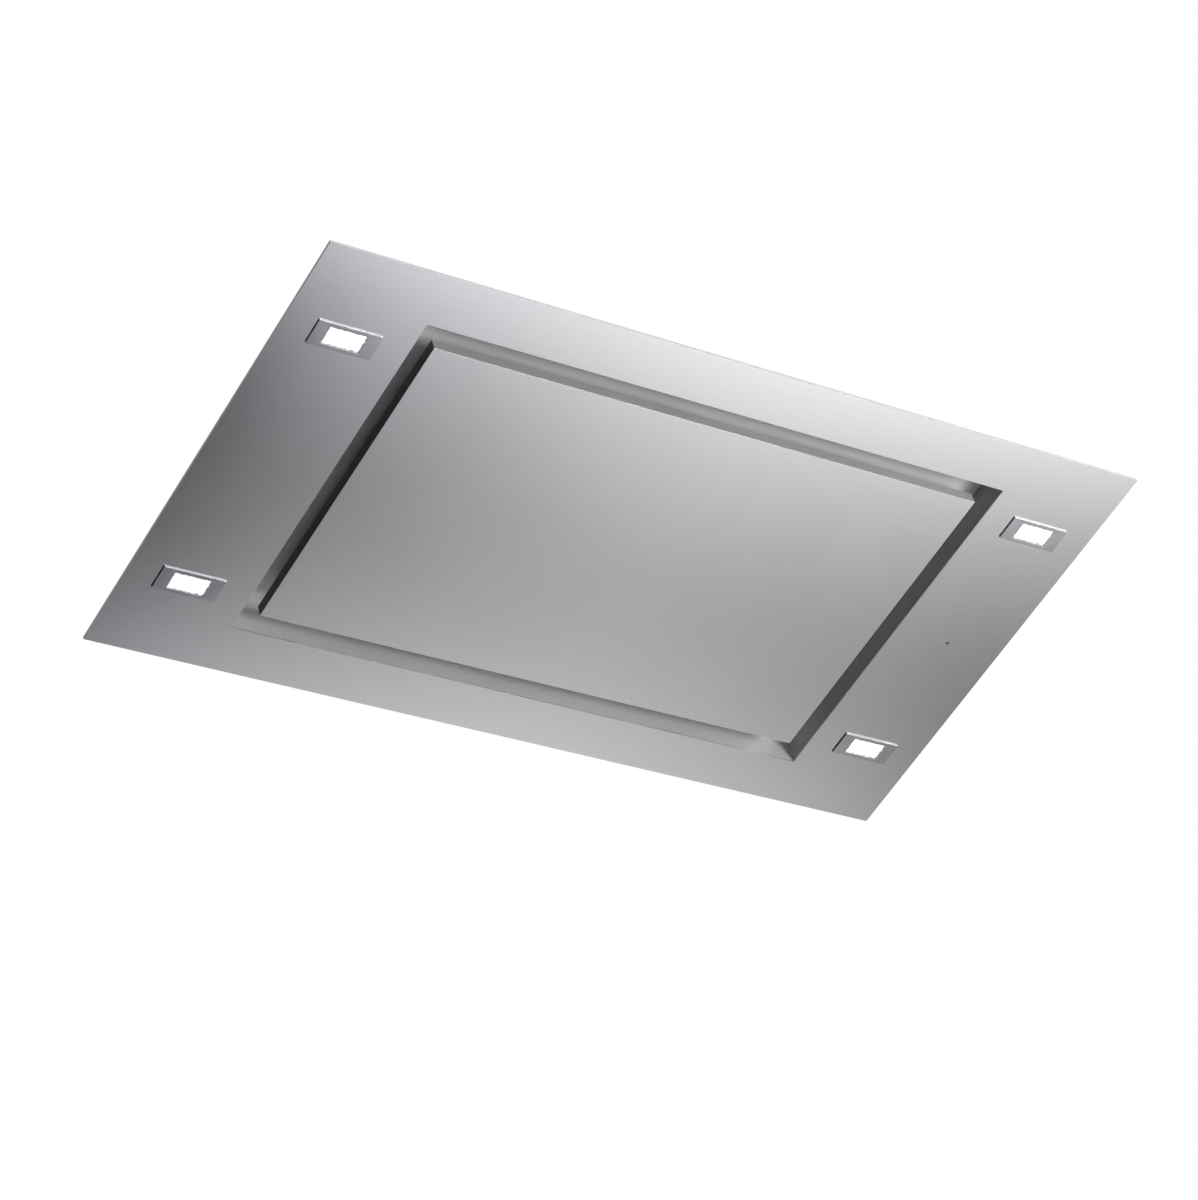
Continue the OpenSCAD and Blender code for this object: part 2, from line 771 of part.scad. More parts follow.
module scroll_half() {
    color(dark_plastic) {
        difference() {
            union() {
                along_wheel() difference() {
                    union() {
                        linear_extrude(scroll_out) polygon(scroll_outline(scroll_t));
                        linear_extrude(scroll_t) polygon(scroll_outline(scroll_t + seam_w));
                    }
                    translate([0, 0, -over]) linear_extrude(scroll_half + over) polygon(scroll_outline(0));
                    translate([0, 0, scroll_half - over])
                        cylinder(r = throat_r + bell_r, h = scroll_t + 2 * over);
                    for (a = seam_angles)
                        translate([seam_place(a).x, seam_place(a).y, -over])
                            cylinder(r = screw_r + seat_gap, h = scroll_t + 2 * over);
                    for (a = carrier_angles)
                        rotate(a) translate([bush_ring_r, 0, scroll_half - over])
                            cylinder(r = screw_r + seat_gap, h = scroll_t + 2 * over);
                }
                along_wheel() bell_mouth();
                slab(collar_half, 2 * collar_half, cover_z - mouth_flange_t, cover_z, collar_half / 2);
            }
            slab(scroll_half, outlet_w, cover_z - 2 * mouth_flange_t, cover_z + over, scroll_half / 2);
            slab(2 * over, outlet_w, cover_z - 2 * mouth_flange_t, cover_z + over);
            for (sy = [-1, 1])
                post(screw_r + seat_gap, cover_z - mouth_flange_t - over, cover_z + over,
                    collar_screw, sy * collar_screw);
        }
    }
}

module scroll_left() {
    mirror([1, 0, 0]) scroll_half();
}

module scroll_right() {
    scroll_half();
}

// One forward-curved blade, from the wheel's inner edge to its rim
module blade_outline() {
    inner = wheel_r - blade_d;
    steps = [for (i = [0:blade_steps]) i / blade_steps];
    function edge(s, side) = let (
        r = inner + (blade_d - ring_t / 4) * s,
        a = blade_sweep * s * s + side * (blade_t / r / 2) * 180 / PI
    ) r * [cos(a), sin(a)];
    polygon(concat([for (s = steps) edge(s, 1)], [for (i = [blade_steps:-1:0]) edge(steps[i], -1)]));
}

module impeller() {
    half = wheel_w / 2;
    inner = wheel_r - blade_d;
    color("dimgray") along_wheel() difference() {
        union() {
            for (i = [0:blade_count - 1])
                rotate(360 * i / blade_count) translate([0, 0, ring_t / 2 - half])
                    linear_extrude(wheel_w - ring_t) blade_outline();
            for (end = [-half, half - ring_t])
                translate([0, 0, end]) difference() {
                    cylinder(r = wheel_r, h = ring_t);
                    translate([0, 0, -over]) cylinder(r = inner, h = ring_t + 2 * over);
                }
            translate([0, 0, -disc_t / 2]) cylinder(r = wheel_r, h = disc_t);
            translate([0, 0, -hub_l / 2]) cylinder(r = hub_r, h = hub_l);
        }
        translate([0, 0, -hub_l]) cylinder(r = shaft_r + seat_gap, h = 2 * hub_l);
    }
}

module motor_shaft() {
    color("silver") along_wheel()
        translate([0, 0, -hub_l / 2 - shaft_end])
            cylinder(r = shaft_r, h = motor_back + hub_l / 2 + 2 * shaft_end);
}

module motor_can() {
    length = motor_back - motor_front;
    color("darkgray") along_wheel() difference() {
        union() {
            translate([0, 0, motor_front + motor_bell]) cylinder(r = motor_r, h = length - 2 * motor_bell);
            translate([0, 0, motor_front])
                cylinder(r1 = motor_r - motor_bell, r2 = motor_r, h = motor_bell);
            translate([0, 0, motor_back - motor_bell]) cylinder(r = motor_r - motor_bell, h = motor_bell);
        }
        for (i = [0:motor_slots - 1])
            rotate(360 * (i + 0.5) / motor_slots)
                translate([motor_r - motor_slot_depth, -motor_slot_w / 2, motor_front + 2 * motor_bell])
                    cube([motor_slot_depth + over, motor_slot_w, length - 4 * motor_bell]);
        translate([0, 0, motor_front - over]) cylinder(r = shaft_r + run_gap, h = length + 2 * over);
    }
}

module motor_carrier() {
    color("silver") along_wheel() translate([0, 0, motor_back]) linear_extrude(carrier_t) difference() {
        union() {
            circle(carrier_r);
            for (a = carrier_angles)
                rotate(a) {
                    translate([0, -carrier_arm_w / 2]) square([bush_ring_r, carrier_arm_w]);
                    translate([bush_ring_r, 0]) circle(bush_r);
                }
        }
        circle(shaft_r + bush_r);
        for (a = carrier_angles)
            rotate(a) translate([bush_ring_r, 0]) circle(screw_r + seat_gap);
    }
}

module motor_bushes() {
    waist = bush_r / 5;
    color("black") along_wheel() for (a = carrier_angles)
        rotate(a) translate([bush_ring_r, 0, scroll_out]) rotate_extrude() polygon([
            [screw_r + seat_gap, 0], [bush_r, 0], [bush_r, bush_t / 3], [bush_r - waist, bush_t / 2],
            [bush_r, 2 * bush_t / 3], [bush_r, bush_t], [screw_r + seat_gap, bush_t]
        ]);
}

// Duct collar and damper

module duct_collar() {
    base_z = body_h + collar_base_t;
    corner = collar_half - collar_corner_r;
    color(dark_plastic) difference() {
        union() {
            difference() {
                union() {
                    slab(2 * collar_half, 2 * corner, body_h, base_z);
                    slab(2 * corner, 2 * collar_half, body_h, base_z);
                    for (sx = [-1, 1], sy = [-1, 1])
                        post(collar_corner_r, body_h, base_z, sx * corner, sy * corner);
                    post(duct_r, body_h, body_h + duct_h);
                }
                post(duct_bore, body_h - over, body_h + duct_h + over);
            }
            difference() {
                post(duct_bore + duct_t / 2, stop_z, stop_z + stop_t);
                post(duct_bore - stop_w, stop_z - over, stop_z + stop_t + over);
            }
            intersection() {
                post(duct_bore + duct_t / 2, stop_z + stop_t - flap_bar_h, flap_pin_z + flap_knuckle_r);
                union() {
                    slab(2 * flap_pin_x, 2 * duct_r, stop_z + stop_t - flap_bar_h, stop_z + stop_t);
                    for (side = [-1, 1], end = [-1, 1])
                        slab(2 * flap_knuckle_r, flap_ear_t, stop_z, flap_pin_z + flap_knuckle_r,
                            side * flap_pin_x, end * (flap_ear_y + flap_ear_t / 2));
                }
            }
        }
        for (side = [-1, 1])
            rod_y(flap_pin_r + run_gap, -flap_ear_y - 2 * flap_ear_t, flap_ear_y + 2 * flap_ear_t,
                side * flap_pin_x, flap_pin_z);
        for (sx = [-1, 1], sy = [-1, 1])
            post(screw_r + seat_gap, body_h - over, base_z + over, sx * collar_screw, sy * collar_screw);
    }
}

module damper_flap(side) {
    flap_z = stop_z + stop_t;
    ear_gap = flap_ear_t + 2 * fit_gap;
    knuckle_l = flap_ear_y - fit_gap;
    color("gray") difference() {
        union() {
            intersection() {
                post(duct_bore - flap_gap, flap_z, flap_z + flap_t);
                slab(duct_r, 2 * duct_r, flap_z, flap_z + flap_t, side * (flap_pin_x + duct_r / 2));
            }
            rod_y(flap_knuckle_r, -knuckle_l, knuckle_l, side * flap_pin_x, flap_pin_z);
            rod_y(flap_pin_r, -flap_ear_y - flap_ear_t, flap_ear_y + flap_ear_t,
                side * flap_pin_x, flap_pin_z);
        }
        for (end = [-1, 1])
            slab(2 * flap_knuckle_r + 2 * flap_notch, ear_gap, flap_z - over, flap_z + flap_t,
                side * flap_pin_x, end * (flap_ear_y + flap_ear_t / 2));
    }
}

// Controls

module control_box() {
    color(grey_plastic) difference() {
        union() {
            difference() {
                slab(box_w, box_l, box_bottom_z, cover_z, box_x);
                slab(box_w - 2 * box_t, box_l - 2 * box_t, box_bottom_z - over, cover_z - box_t, box_x);
            }
            for (sx = [-1, 1], sy = [-1, 1])
                post(post_r, cover_z - box_t - board_drop, cover_z - box_t + bite,
                    box_x + sx * (box_w / 2 - post_inset), sy * (box_l / 2 - post_inset));
        }
        post(gland_r + seat_gap, cover_z - box_t - over, cover_z + over, box_x, gland_y);
    }
}

module control_box_lid() {
    color(grey_plastic) {
        slab(box_w, box_l, box_bottom_z - lid_t, box_bottom_z, box_x);
        difference() {
            slab(box_w - 2 * box_t - 2 * fit_gap, box_l - 2 * box_t - 2 * fit_gap,
                box_bottom_z - lid_t / 2, box_bottom_z + lid_t, box_x);
            slab(box_w - 4 * box_t - 2 * fit_gap, box_l - 4 * box_t - 2 * fit_gap,
                box_bottom_z, box_bottom_z + lid_t + over, box_x);
        }
    }
}

module control_board() {
    top = cover_z - box_t - board_drop;
    under = top - board_t;
    board_w = box_w - 2 * box_t - 2 * board_margin;
    board_l = box_l - 2 * box_t - 2 * board_margin;
    color("darkgreen") slab(board_w, board_l, under, top, box_x);
    color("black") {
        slab(board_w / 3, board_l / 5, under - board_drop, under, box_x + board_w / 4, -board_l / 4);
        slab(board_w / 4, board_l / 12, under - board_drop / 2, under, box_x - board_w / 4, -board_l / 8);
        slab(board_w / 4, board_l / 12, under - board_drop / 2, under, box_x - board_w / 4, board_l / 12);
    }
    color("limegreen") difference() {
        slab(board_w / 4, board_l / 4, under - board_drop / 2, under, box_x - board_w / 3, -board_l / 3);
        for (i = [-1:1])
            slab(board_w / 8, board_l / 24, under - board_drop / 2 - over, under - board_drop / 4,
                box_x - board_w / 3, -board_l / 3 + i * board_l / 14);
    }
}

module capacitor() {
    z = box_bottom_z + lid_t + capacitor_r;
    y0 = box_l / 2 - box_t - fit_gap - capacitor_h;
    color("white") {
        rod_y(capacitor_r, y0, y0 + capacitor_h, box_x, z);
        rod_y(capacitor_r / 3, y0 - box_t, y0 + bite, box_x, z);
    }
}

module cable_gland() {
    color("black") translate([box_x, gland_y, 0]) difference() {
        union() {
            post(gland_r, body_h - gland_thread_h, body_h + bite);
            translate([0, 0, body_h])
                cylinder(r = gland_flange_r, h = gland_flange_t, $fn = 6);
            translate([0, 0, body_h + gland_flange_t])
                cylinder(r1 = gland_flange_r - gland_dome_step, r2 = gland_r - gland_dome_step,
                    h = gland_dome_h - gland_flange_t);
            translate([0, 0, cover_z - box_t - gland_nut_t])
                cylinder(r = gland_flange_r, h = gland_nut_t, $fn = 6);
        }
        post(gland_bore_r, body_h - gland_thread_h - over, body_h + gland_dome_h + over);
    }
}

// Lamps

module at_lamp(i) {
    place = corners[i - 1];
    translate([place.x * lamp_x, place.y * lamp_y, face_z]) children();
}

module lamp_bezel(i) {
    color(stainless) at_lamp(i) difference() {
        union() {
            slab(lamp_w, lamp_d, -lamp_proud, 0);
            slab(lamp_neck_w, lamp_neck_d, -lamp_proud / 2, lamp_neck_h);
        }
        slab(window_w, window_d, -lamp_proud - over, over);
        slab(lamp_neck_w - 2 * lamp_wall, lamp_neck_d - 2 * lamp_wall, 0, lamp_neck_h + over);
    }
}

module lamp_lens(i) {
    color("white") at_lamp(i) {
        slab(window_w - fit_gap, min(window_d, lamp_neck_d - 2 * lamp_wall) - fit_gap,
            lens_recess - lamp_proud, 0);
        slab(lamp_neck_w - 2 * lamp_wall - fit_gap, lamp_neck_d - 2 * lamp_wall - fit_gap,
            0, lens_flange_t);
    }
}

module lamp_body(i) {
    base = lamp_neck_h + lamp_base_t;
    step = (lamp_neck_w - lamp_fin_t) / (fin_count - 1);
    color("darkgray") at_lamp(i) {
        slab(lamp_neck_w - 2 * lamp_wall - fit_gap, lamp_neck_d - 2 * lamp_wall - fit_gap, lens_flange_t,
            lamp_neck_h + bite);
        slab(lamp_neck_w, lamp_neck_d, lamp_neck_h, base);
        for (n = [0:fin_count - 1])
            slab(lamp_fin_t, lamp_neck_d, base - lamp_base_t / 2, base + lamp_fin_h,
                (lamp_fin_t - lamp_neck_w) / 2 + n * step);
    }
}

module lamp_clips() {
    color("silver") for (i = [1:4]) at_lamp(i) for (side = [-1, 1])
        translate([-clip_w / 2, 0, 0]) rotate([90, 0, 90]) linear_extrude(clip_w) polygon([
            [side * lamp_neck_d / 2, clip_h],
            [side * lamp_neck_d / 2, clip_h + clip_t],
            [side * (lamp_neck_d / 2 + clip_reach), stainless_t + clip_t],
            [side * (lamp_neck_d / 2 + clip_reach + clip_t), stainless_t],
            [side * (lamp_neck_d / 2 + clip_reach - clip_t), stainless_t]
        ]);
}

// Receiver and lamp driver

module receiver_lens() {
    color("red") translate([receiver_x, 0, 0]) {
        post(receiver_r, face_z, plate_top_z + receiver_stem_h);
        translate([0, 0, face_z - receiver_dome])
            cylinder(r1 = receiver_r / 2, r2 = receiver_r, h = receiver_dome);
    }
}

module receiver_holder() {
    color(dark_plastic) difference() {
        slab(receiver_w, receiver_d, plate_top_z, plate_top_z + receiver_h, receiver_x);
        post(receiver_r + seat_gap, plate_top_z - over, plate_top_z + receiver_stem_h, receiver_x, 0);
    }
}

module led_driver() {
    x = -receiver_x;
    color(grey_plastic) difference() {
        union() {
            slab(driver_w, driver_l, plate_top_z, plate_top_z + driver_h, x);
            slab(driver_w, driver_l + 2 * driver_tab_l, plate_top_z, plate_top_z + driver_tab_t, x);
        }
        for (end = [-1, 1])
            post(driver_hole_r, plate_top_z - over, plate_top_z + driver_tab_t + over,
                x, end * (driver_l + driver_tab_l) / 2);
    }
}

// Fasteners

module frame_nuts() {
    color("silver") for (share = stud_shares, side = [-1, 1])
        translate([share * housing_w, side * stud_y, plate_top_z + steel_t]) difference() {
            cylinder(r = nut_r, h = nut_h, $fn = 6);
            translate([0, 0, -over]) cylinder(r = stud_r + seat_gap, h = nut_h + 2 * over);
        }
}

module cover_screws() {
    color("silver") {
        for (p = cover_screw_places())
            screw(p.x, p.y, body_h, screw_l);
        for (p = hanger_screw_places())
            screw(p.x, p.y, body_h + hang_t, screw_l);
    }
}

module collar_screws() {
    color("silver") for (sx = [-1, 1], sy = [-1, 1])
        screw(sx * collar_screw, sy * collar_screw, body_h + collar_base_t, screw_l);
}

module scroll_screws() {
    color("silver") along_wheel() {
        for (a = seam_angles)
            screw(seam_place(a).x, seam_place(a).y, scroll_t, screw_l);
        for (a = carrier_angles)
            rotate(a) screw(bush_ring_r, 0, motor_back + carrier_t, screw_l + scroll_t);
    }
}

face_plate();
recess_collar();
panel_skin();
panel_liner();
hinge_bracket(-1);  // hinge_bracket_left
hinge_bracket(1);  // hinge_bracket_right
hinge_leaf(-1);  // hinge_leaf_left
hinge_leaf(1);  // hinge_leaf_right
hinge_pins();
catch_body(-1);  // catch_left
catch_body(1);  // catch_right
catch_magnets();
catch_strikes();
translate([-filter_x, 0, ledge_z]) filter_frame();  // filter_left_frame
translate([-filter_x, 0, ledge_z]) filter_net();  // filter_left_net
translate([-filter_x, 0, ledge_z]) filter_latch();  // filter_left_latch
translate([filter_x, 0, ledge_z]) filter_frame();  // filter_right_frame
translate([filter_x, 0, ledge_z]) filter_net();  // filter_right_net
translate([filter_x, 0, ledge_z]) filter_latch();  // filter_right_latch
housing_shell();
top_cover();
scroll_left();
scroll_right();
impeller();
motor_shaft();
motor_can();
motor_carrier();
motor_bushes();
duct_collar();
damper_flap(-1);  // flap_left
damper_flap(1);  // flap_right
control_box();
control_box_lid();
control_board();
capacitor();
cable_gland();
lamp_bezel(1);  // lamp_1_bezel
lamp_bezel(2);  // lamp_2_bezel
lamp_bezel(3);  // lamp_3_bezel
lamp_bezel(4);  // lamp_4_bezel
lamp_lens(1);  // lamp_1_lens
lamp_lens(2);  // lamp_2_lens
lamp_lens(3);  // lamp_3_lens
lamp_lens(4);  // lamp_4_lens
lamp_body(1);  // lamp_1_body
lamp_body(2);  // lamp_2_body
lamp_body(3);  // lamp_3_body
lamp_body(4);  // lamp_4_body
lamp_clips();
receiver_lens();
receiver_holder();
led_driver();
hanger(corners[0]);  // hanger_1
hanger(corners[1]);  // hanger_2
hanger(corners[2]);  // hanger_3
hanger(corners[3]);  // hanger_4
frame_nuts();
cover_screws();
scroll_screws();
collar_screws();
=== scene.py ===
# Ceiling range hood: finishes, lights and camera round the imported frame
import json
import math

import bmesh
import bpy
from mathutils import Matrix, Vector

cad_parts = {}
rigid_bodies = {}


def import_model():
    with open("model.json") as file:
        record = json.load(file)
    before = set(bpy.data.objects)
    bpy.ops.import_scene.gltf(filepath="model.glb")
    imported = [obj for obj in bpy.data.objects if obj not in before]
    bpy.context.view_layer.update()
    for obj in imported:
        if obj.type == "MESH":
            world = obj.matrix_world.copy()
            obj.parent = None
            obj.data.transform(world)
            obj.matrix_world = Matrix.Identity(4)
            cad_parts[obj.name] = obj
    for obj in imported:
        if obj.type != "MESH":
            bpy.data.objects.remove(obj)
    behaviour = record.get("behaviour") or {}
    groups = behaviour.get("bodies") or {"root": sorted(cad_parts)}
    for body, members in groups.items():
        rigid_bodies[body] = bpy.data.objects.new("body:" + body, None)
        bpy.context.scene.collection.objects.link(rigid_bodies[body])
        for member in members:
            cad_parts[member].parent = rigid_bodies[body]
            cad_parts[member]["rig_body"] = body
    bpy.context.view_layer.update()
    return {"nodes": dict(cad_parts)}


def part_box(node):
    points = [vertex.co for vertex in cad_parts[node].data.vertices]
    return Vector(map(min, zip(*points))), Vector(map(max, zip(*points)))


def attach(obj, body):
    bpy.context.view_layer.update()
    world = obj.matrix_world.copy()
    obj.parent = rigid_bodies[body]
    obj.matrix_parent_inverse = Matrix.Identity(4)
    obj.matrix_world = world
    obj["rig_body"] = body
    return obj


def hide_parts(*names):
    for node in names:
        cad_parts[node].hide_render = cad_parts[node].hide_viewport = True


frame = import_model()
scene = bpy.context.scene
print("frame loaded,", len(frame["nodes"]), "nodes")

# Camera, at the photograph's viewing angle

cameraLook = {
    "lens": 123.62,  # mm
    "sensor": 36,  # mm
    "place": (-1.9685, -2.0352, -2.7039),
    "aim": (0.005738, 0.055946, -0.003),
    "roll": -18.5447,  # degrees
    "farthest": 60,  # metres
}


def makeCamera(look):
    place = Vector(look["place"])
    back = (place - Vector(look["aim"])).normalized()
    level = Vector((0, 0, 1)).cross(back).normalized()
    rise = back.cross(level)
    roll = math.radians(look["roll"])
    right = level * math.cos(roll) + rise * math.sin(roll)
    up = rise * math.cos(roll) - level * math.sin(roll)
    lens = bpy.data.cameras.new("camera")
    lens.lens = look["lens"]
    lens.sensor_width = look["sensor"]
    lens.clip_end = look["farthest"]
    holder = bpy.data.objects.new("camera", lens)
    turn = Matrix((right, up, back)).transposed().to_4x4()
    holder.matrix_world = Matrix.Translation(place) @ turn
    scene.collection.objects.link(holder)
    scene.camera = holder


makeCamera(cameraLook)
print("camera placed")

# Helpers for node materials


def newMaterial(name):
    made = bpy.data.materials.new(name)
    made.use_nodes = True
    tree = made.node_tree
    return made, tree, tree.nodes["Principled BSDF"]


def emptyMaterial(name):
    made, tree, _ = newMaterial(name)
    tree.nodes.clear()
    return made, tree


# A socket is linked to what feeds it, or set where that is a plain value
def feed(tree, socket, value):
    if isinstance(value, bpy.types.NodeSocket):
        tree.links.new(value, socket)
    else:
        socket.default_value = value


def addNode(tree, kind, **inputs):
    node = tree.nodes.new("ShaderNode" + kind)
    for key, value in inputs.items():
        feed(tree, node.inputs[key.replace("_", " ")], value)
    return node


def addMath(tree, operation, *values):
    node = addNode(tree, "Math")
    node.operation = operation
    for socket, value in zip(node.inputs, values):
        feed(tree, socket, value)
    return node.outputs["Value"]


def ownPlace(tree, stretch=(1, 1, 1)):
    place = addNode(tree, "TexCoord")
    mapping = addNode(tree, "Mapping", Vector=place.outputs["Object"], Scale=stretch)
    return mapping.outputs["Vector"]


def noise(tree, place, scale, detail, ragged=0.5):
    node = addNode(tree, "TexNoise", Vector=place, Scale=scale, Detail=detail, Roughness=ragged)
    return node.outputs["Fac"]


# Most of a noise lies between 0.3 and 0.7
def remap(tree, value, low, high, fromLow=0.3, fromHigh=0.7):
    node = addNode(tree, "MapRange", Value=value, From_Min=fromLow, From_Max=fromHigh,
                   To_Min=low, To_Max=high)
    return node.outputs["Result"]


def blendColours(tree, share, first, second):
    node = tree.nodes.new("ShaderNodeMix")
    node.data_type = "RGBA"
    tree.links.new(share, node.inputs["Factor"])
    colourA, colourB, mixed = node.inputs[6], node.inputs[7], node.outputs[2]  # for colours
    colourA.default_value = (*first, 1)
    colourB.default_value = (*second, 1)
    return mixed


def mixShaders(tree, share, first, second):
    mixed = addNode(tree, "MixShader", Fac=share)
    tree.links.new(first, mixed.inputs[1])  # both are named Shader
    tree.links.new(second, mixed.inputs[2])
    return mixed.outputs["Shader"]


def addBump(tree, shader, height, bump):
    strength, depth = bump
    node = addNode(tree, "Bump", Height=height, Strength=strength, Distance=depth)
    tree.links.new(node.outputs["Normal"], shader.inputs["Normal"])


# Brushed, cast and plated metal: a stretched grain with slow clouds under it.
# stretch is grains per metre along each axis, clouds is clouds per metre,
# and bump, here and further on, is a strength and a depth

grainLook = {"detail": 4.0, "ragged": 0.6, "cloudDetail": 3.0, "contrast": (0.72, 1.28)}


def grainedMetal(name, look):
    made, tree, shader = newMaterial(name)
    grain = noise(tree, ownPlace(tree, look["stretch"]), 1.0,
                  grainLook["detail"], grainLook["ragged"])
    clouds = noise(tree, ownPlace(tree), look["clouds"], grainLook["cloudDetail"])
    share = remap(tree, addMath(tree, "ADD", grain, clouds), 0, 1, *grainLook["contrast"])
    colour = blendColours(tree, share, look["dark"], look["light"])
    tree.links.new(colour, shader.inputs["Base Color"])
    tree.links.new(remap(tree, clouds, *look["rough"]), shader.inputs["Roughness"])
    shader.inputs["Metallic"].default_value = look["metallic"]
    addBump(tree, shader, grain, look["bump"])
    return made


# Plate and panel, brushed along their length
faceSteel = {
    "light": (0.630, 0.630, 0.636), "dark": (0.606, 0.606, 0.612), "metallic": 1.0,
    "rough": (0.20, 0.23), "stretch": (12, 700, 700), "clouds": 3.0, "bump": (0.10, 0.00002),
}

# The recess: its long walls and the plate's long rims; its ledge, a lighter copy that is painted
# light; its end walls, a darker copy that is painted shade
recessSteel = {
    "light": (0.70, 0.70, 0.705), "dark": (0.65, 0.65, 0.655), "metallic": 0.45,
    "rough": (0.52, 0.60), "stretch": (40, 500, 500), "clouds": 6.0, "bump": (0.15, 0.00003),
}
ledgeSteelPaintedLight = {
    "light": (0.77, 0.77, 0.775), "dark": (0.71, 0.71, 0.715), "metallic": 0.25,
    "rough": (0.52, 0.60), "stretch": (40, 500, 500), "clouds": 6.0, "bump": (0.15, 0.00003),
}
endSteelPaintedShade = {
    "light": (0.42, 0.42, 0.425), "dark": (0.36, 0.36, 0.365), "metallic": 0.55,
    "rough": (0.50, 0.58), "stretch": (500, 500, 40), "clouds": 6.0, "bump": (0.15, 0.00003),
}

# The panel's folds, long ones first: darker copies of the steel, painted shade, the ends near black
panelFold = {
    "light": (0.56, 0.56, 0.565), "dark": (0.51, 0.51, 0.515), "metallic": 0.45,
    "rough": (0.52, 0.60), "stretch": (40, 500, 500), "clouds": 6.0, "bump": (0.15, 0.00003),
}
panelEnd = {
    "light": (0.13, 0.13, 0.135), "dark": (0.10, 0.10, 0.105), "metallic": 0.8,
    "rough": (0.46, 0.56), "stretch": (300, 300, 90), "clouds": 20.0, "bump": (0.25, 0.00003),
}

# Ends of the plate and the bezels: a dark copy of their steel, painted shade
rawEdge = {
    "light": (0.25, 0.25, 0.26), "dark": (0.19, 0.19, 0.20), "metallic": 0.9,
    "rough": (0.42, 0.52), "stretch": (300, 300, 90), "clouds": 20.0, "bump": (0.25, 0.00003),
}

# Lamp bezels: face, then long sides
bezelSteel = {
    "light": (0.47, 0.47, 0.49), "dark": (0.43, 0.43, 0.45), "metallic": 0.95,
    "rough": (0.22, 0.27), "stretch": (60, 900, 900), "clouds": 30.0, "bump": (0.10, 0.00002),
}
bezelSide = {
    "light": (0.50, 0.50, 0.52), "dark": (0.45, 0.45, 0.47), "metallic": 0.7,
    "rough": (0.46, 0.52), "stretch": (60, 900, 900), "clouds": 30.0, "bump": (0.10, 0.00002),
}

# Screws, pins and clips, then filter nets, filter frames, motor and lamp bodies
zincPlate = {
    "light": (0.74, 0.74, 0.72), "dark": (0.66, 0.66, 0.65), "metallic": 1.0,
    "rough": (0.24, 0.38), "stretch": (300, 300, 300), "clouds": 80.0, "bump": (0.15, 0.00003),
}
filterFoil = {
    "light": (0.78, 0.78, 0.79), "dark": (0.70, 0.70, 0.71), "metallic": 1.0,
    "rough": (0.30, 0.42), "stretch": (500, 60, 500), "clouds": 25.0, "bump": (0.12, 0.00003),
}
filterRail = {
    "light": (0.58, 0.58, 0.59), "dark": (0.51, 0.51, 0.52), "metallic": 1.0,
    "rough": (0.34, 0.46), "stretch": (300, 300, 300), "clouds": 25.0, "bump": (0.12, 0.00003),
}
castMetal = {
    "light": (0.62, 0.62, 0.63), "dark": (0.50, 0.50, 0.51), "metallic": 0.85,
    "rough": (0.45, 0.58), "stretch": (260, 260, 260), "clouds": 40.0, "bump": (0.45, 0.00015),
}

# Galvanised sheet: zinc crystals that each have their own shade and gloss

galvanisedLook = {
    "light": (0.59, 0.61, 0.62), "dark": (0.525, 0.545, 0.56), "metallic": 0.9,
    "rough": (0.34, 0.42), "crystals": 90.0,
    "wander": 0.010, "wanderScale": 60.0, "wanderDetail": 2.0,
    "fine": 420.0, "fineDetail": 3.0, "bump": (0.12, 0.00004),
}


def galvanisedSheet(name, look):
    made, tree, shader = newMaterial(name)
    place = ownPlace(tree)
    wander = addNode(tree, "TexNoise", Vector=place, Scale=look["wanderScale"],
                     Detail=look["wanderDetail"])
    pull = addNode(tree, "VectorMath")
    pull.operation = "SCALE"  # only then is there a Scale socket
    feed(tree, pull.inputs["Vector"], wander.outputs["Color"])
    feed(tree, pull.inputs["Scale"], look["wander"])
    moved = addNode(tree, "VectorMath")
    tree.links.new(place, moved.inputs[0])
    tree.links.new(pull.outputs["Vector"], moved.inputs[1])
    crystals = addNode(tree, "TexVoronoi", Vector=moved.outputs["Vector"], Scale=look["crystals"])
    parts = addNode(tree, "SeparateColor", Color=crystals.outputs["Color"])
    colour = blendColours(tree, parts.outputs["Red"], look["dark"], look["light"])
    tree.links.new(colour, shader.inputs["Base Color"])
    rough = remap(tree, parts.outputs["Green"], *look["rough"], 0, 1)
    tree.links.new(rough, shader.inputs["Roughness"])
    shader.inputs["Metallic"].default_value = look["metallic"]
    addBump(tree, shader, noise(tree, place, look["fine"], look["fineDetail"]), look["bump"])
    return made


# Moulded plastic, rubber and enamel: a fine eroded skin, no metal

mouldLook = {"skinDetail": 3.0, "ragged": 0.6, "cloudDetail": 2.0}


def mouldedSkin(name, look):
    made, tree, shader = newMaterial(name)
    place = ownPlace(tree)
    skin = noise(tree, place, look["skin"], mouldLook["skinDetail"], mouldLook["ragged"])
    clouds = noise(tree, place, look["clouds"], mouldLook["cloudDetail"])
    colour = blendColours(tree, remap(tree, clouds, 0, 1), look["dark"], look["light"])
    tree.links.new(colour, shader.inputs["Base Color"])
    tree.links.new(remap(tree, skin, *look["rough"]), shader.inputs["Roughness"])
    addBump(tree, shader, skin, look["bump"])
    return made


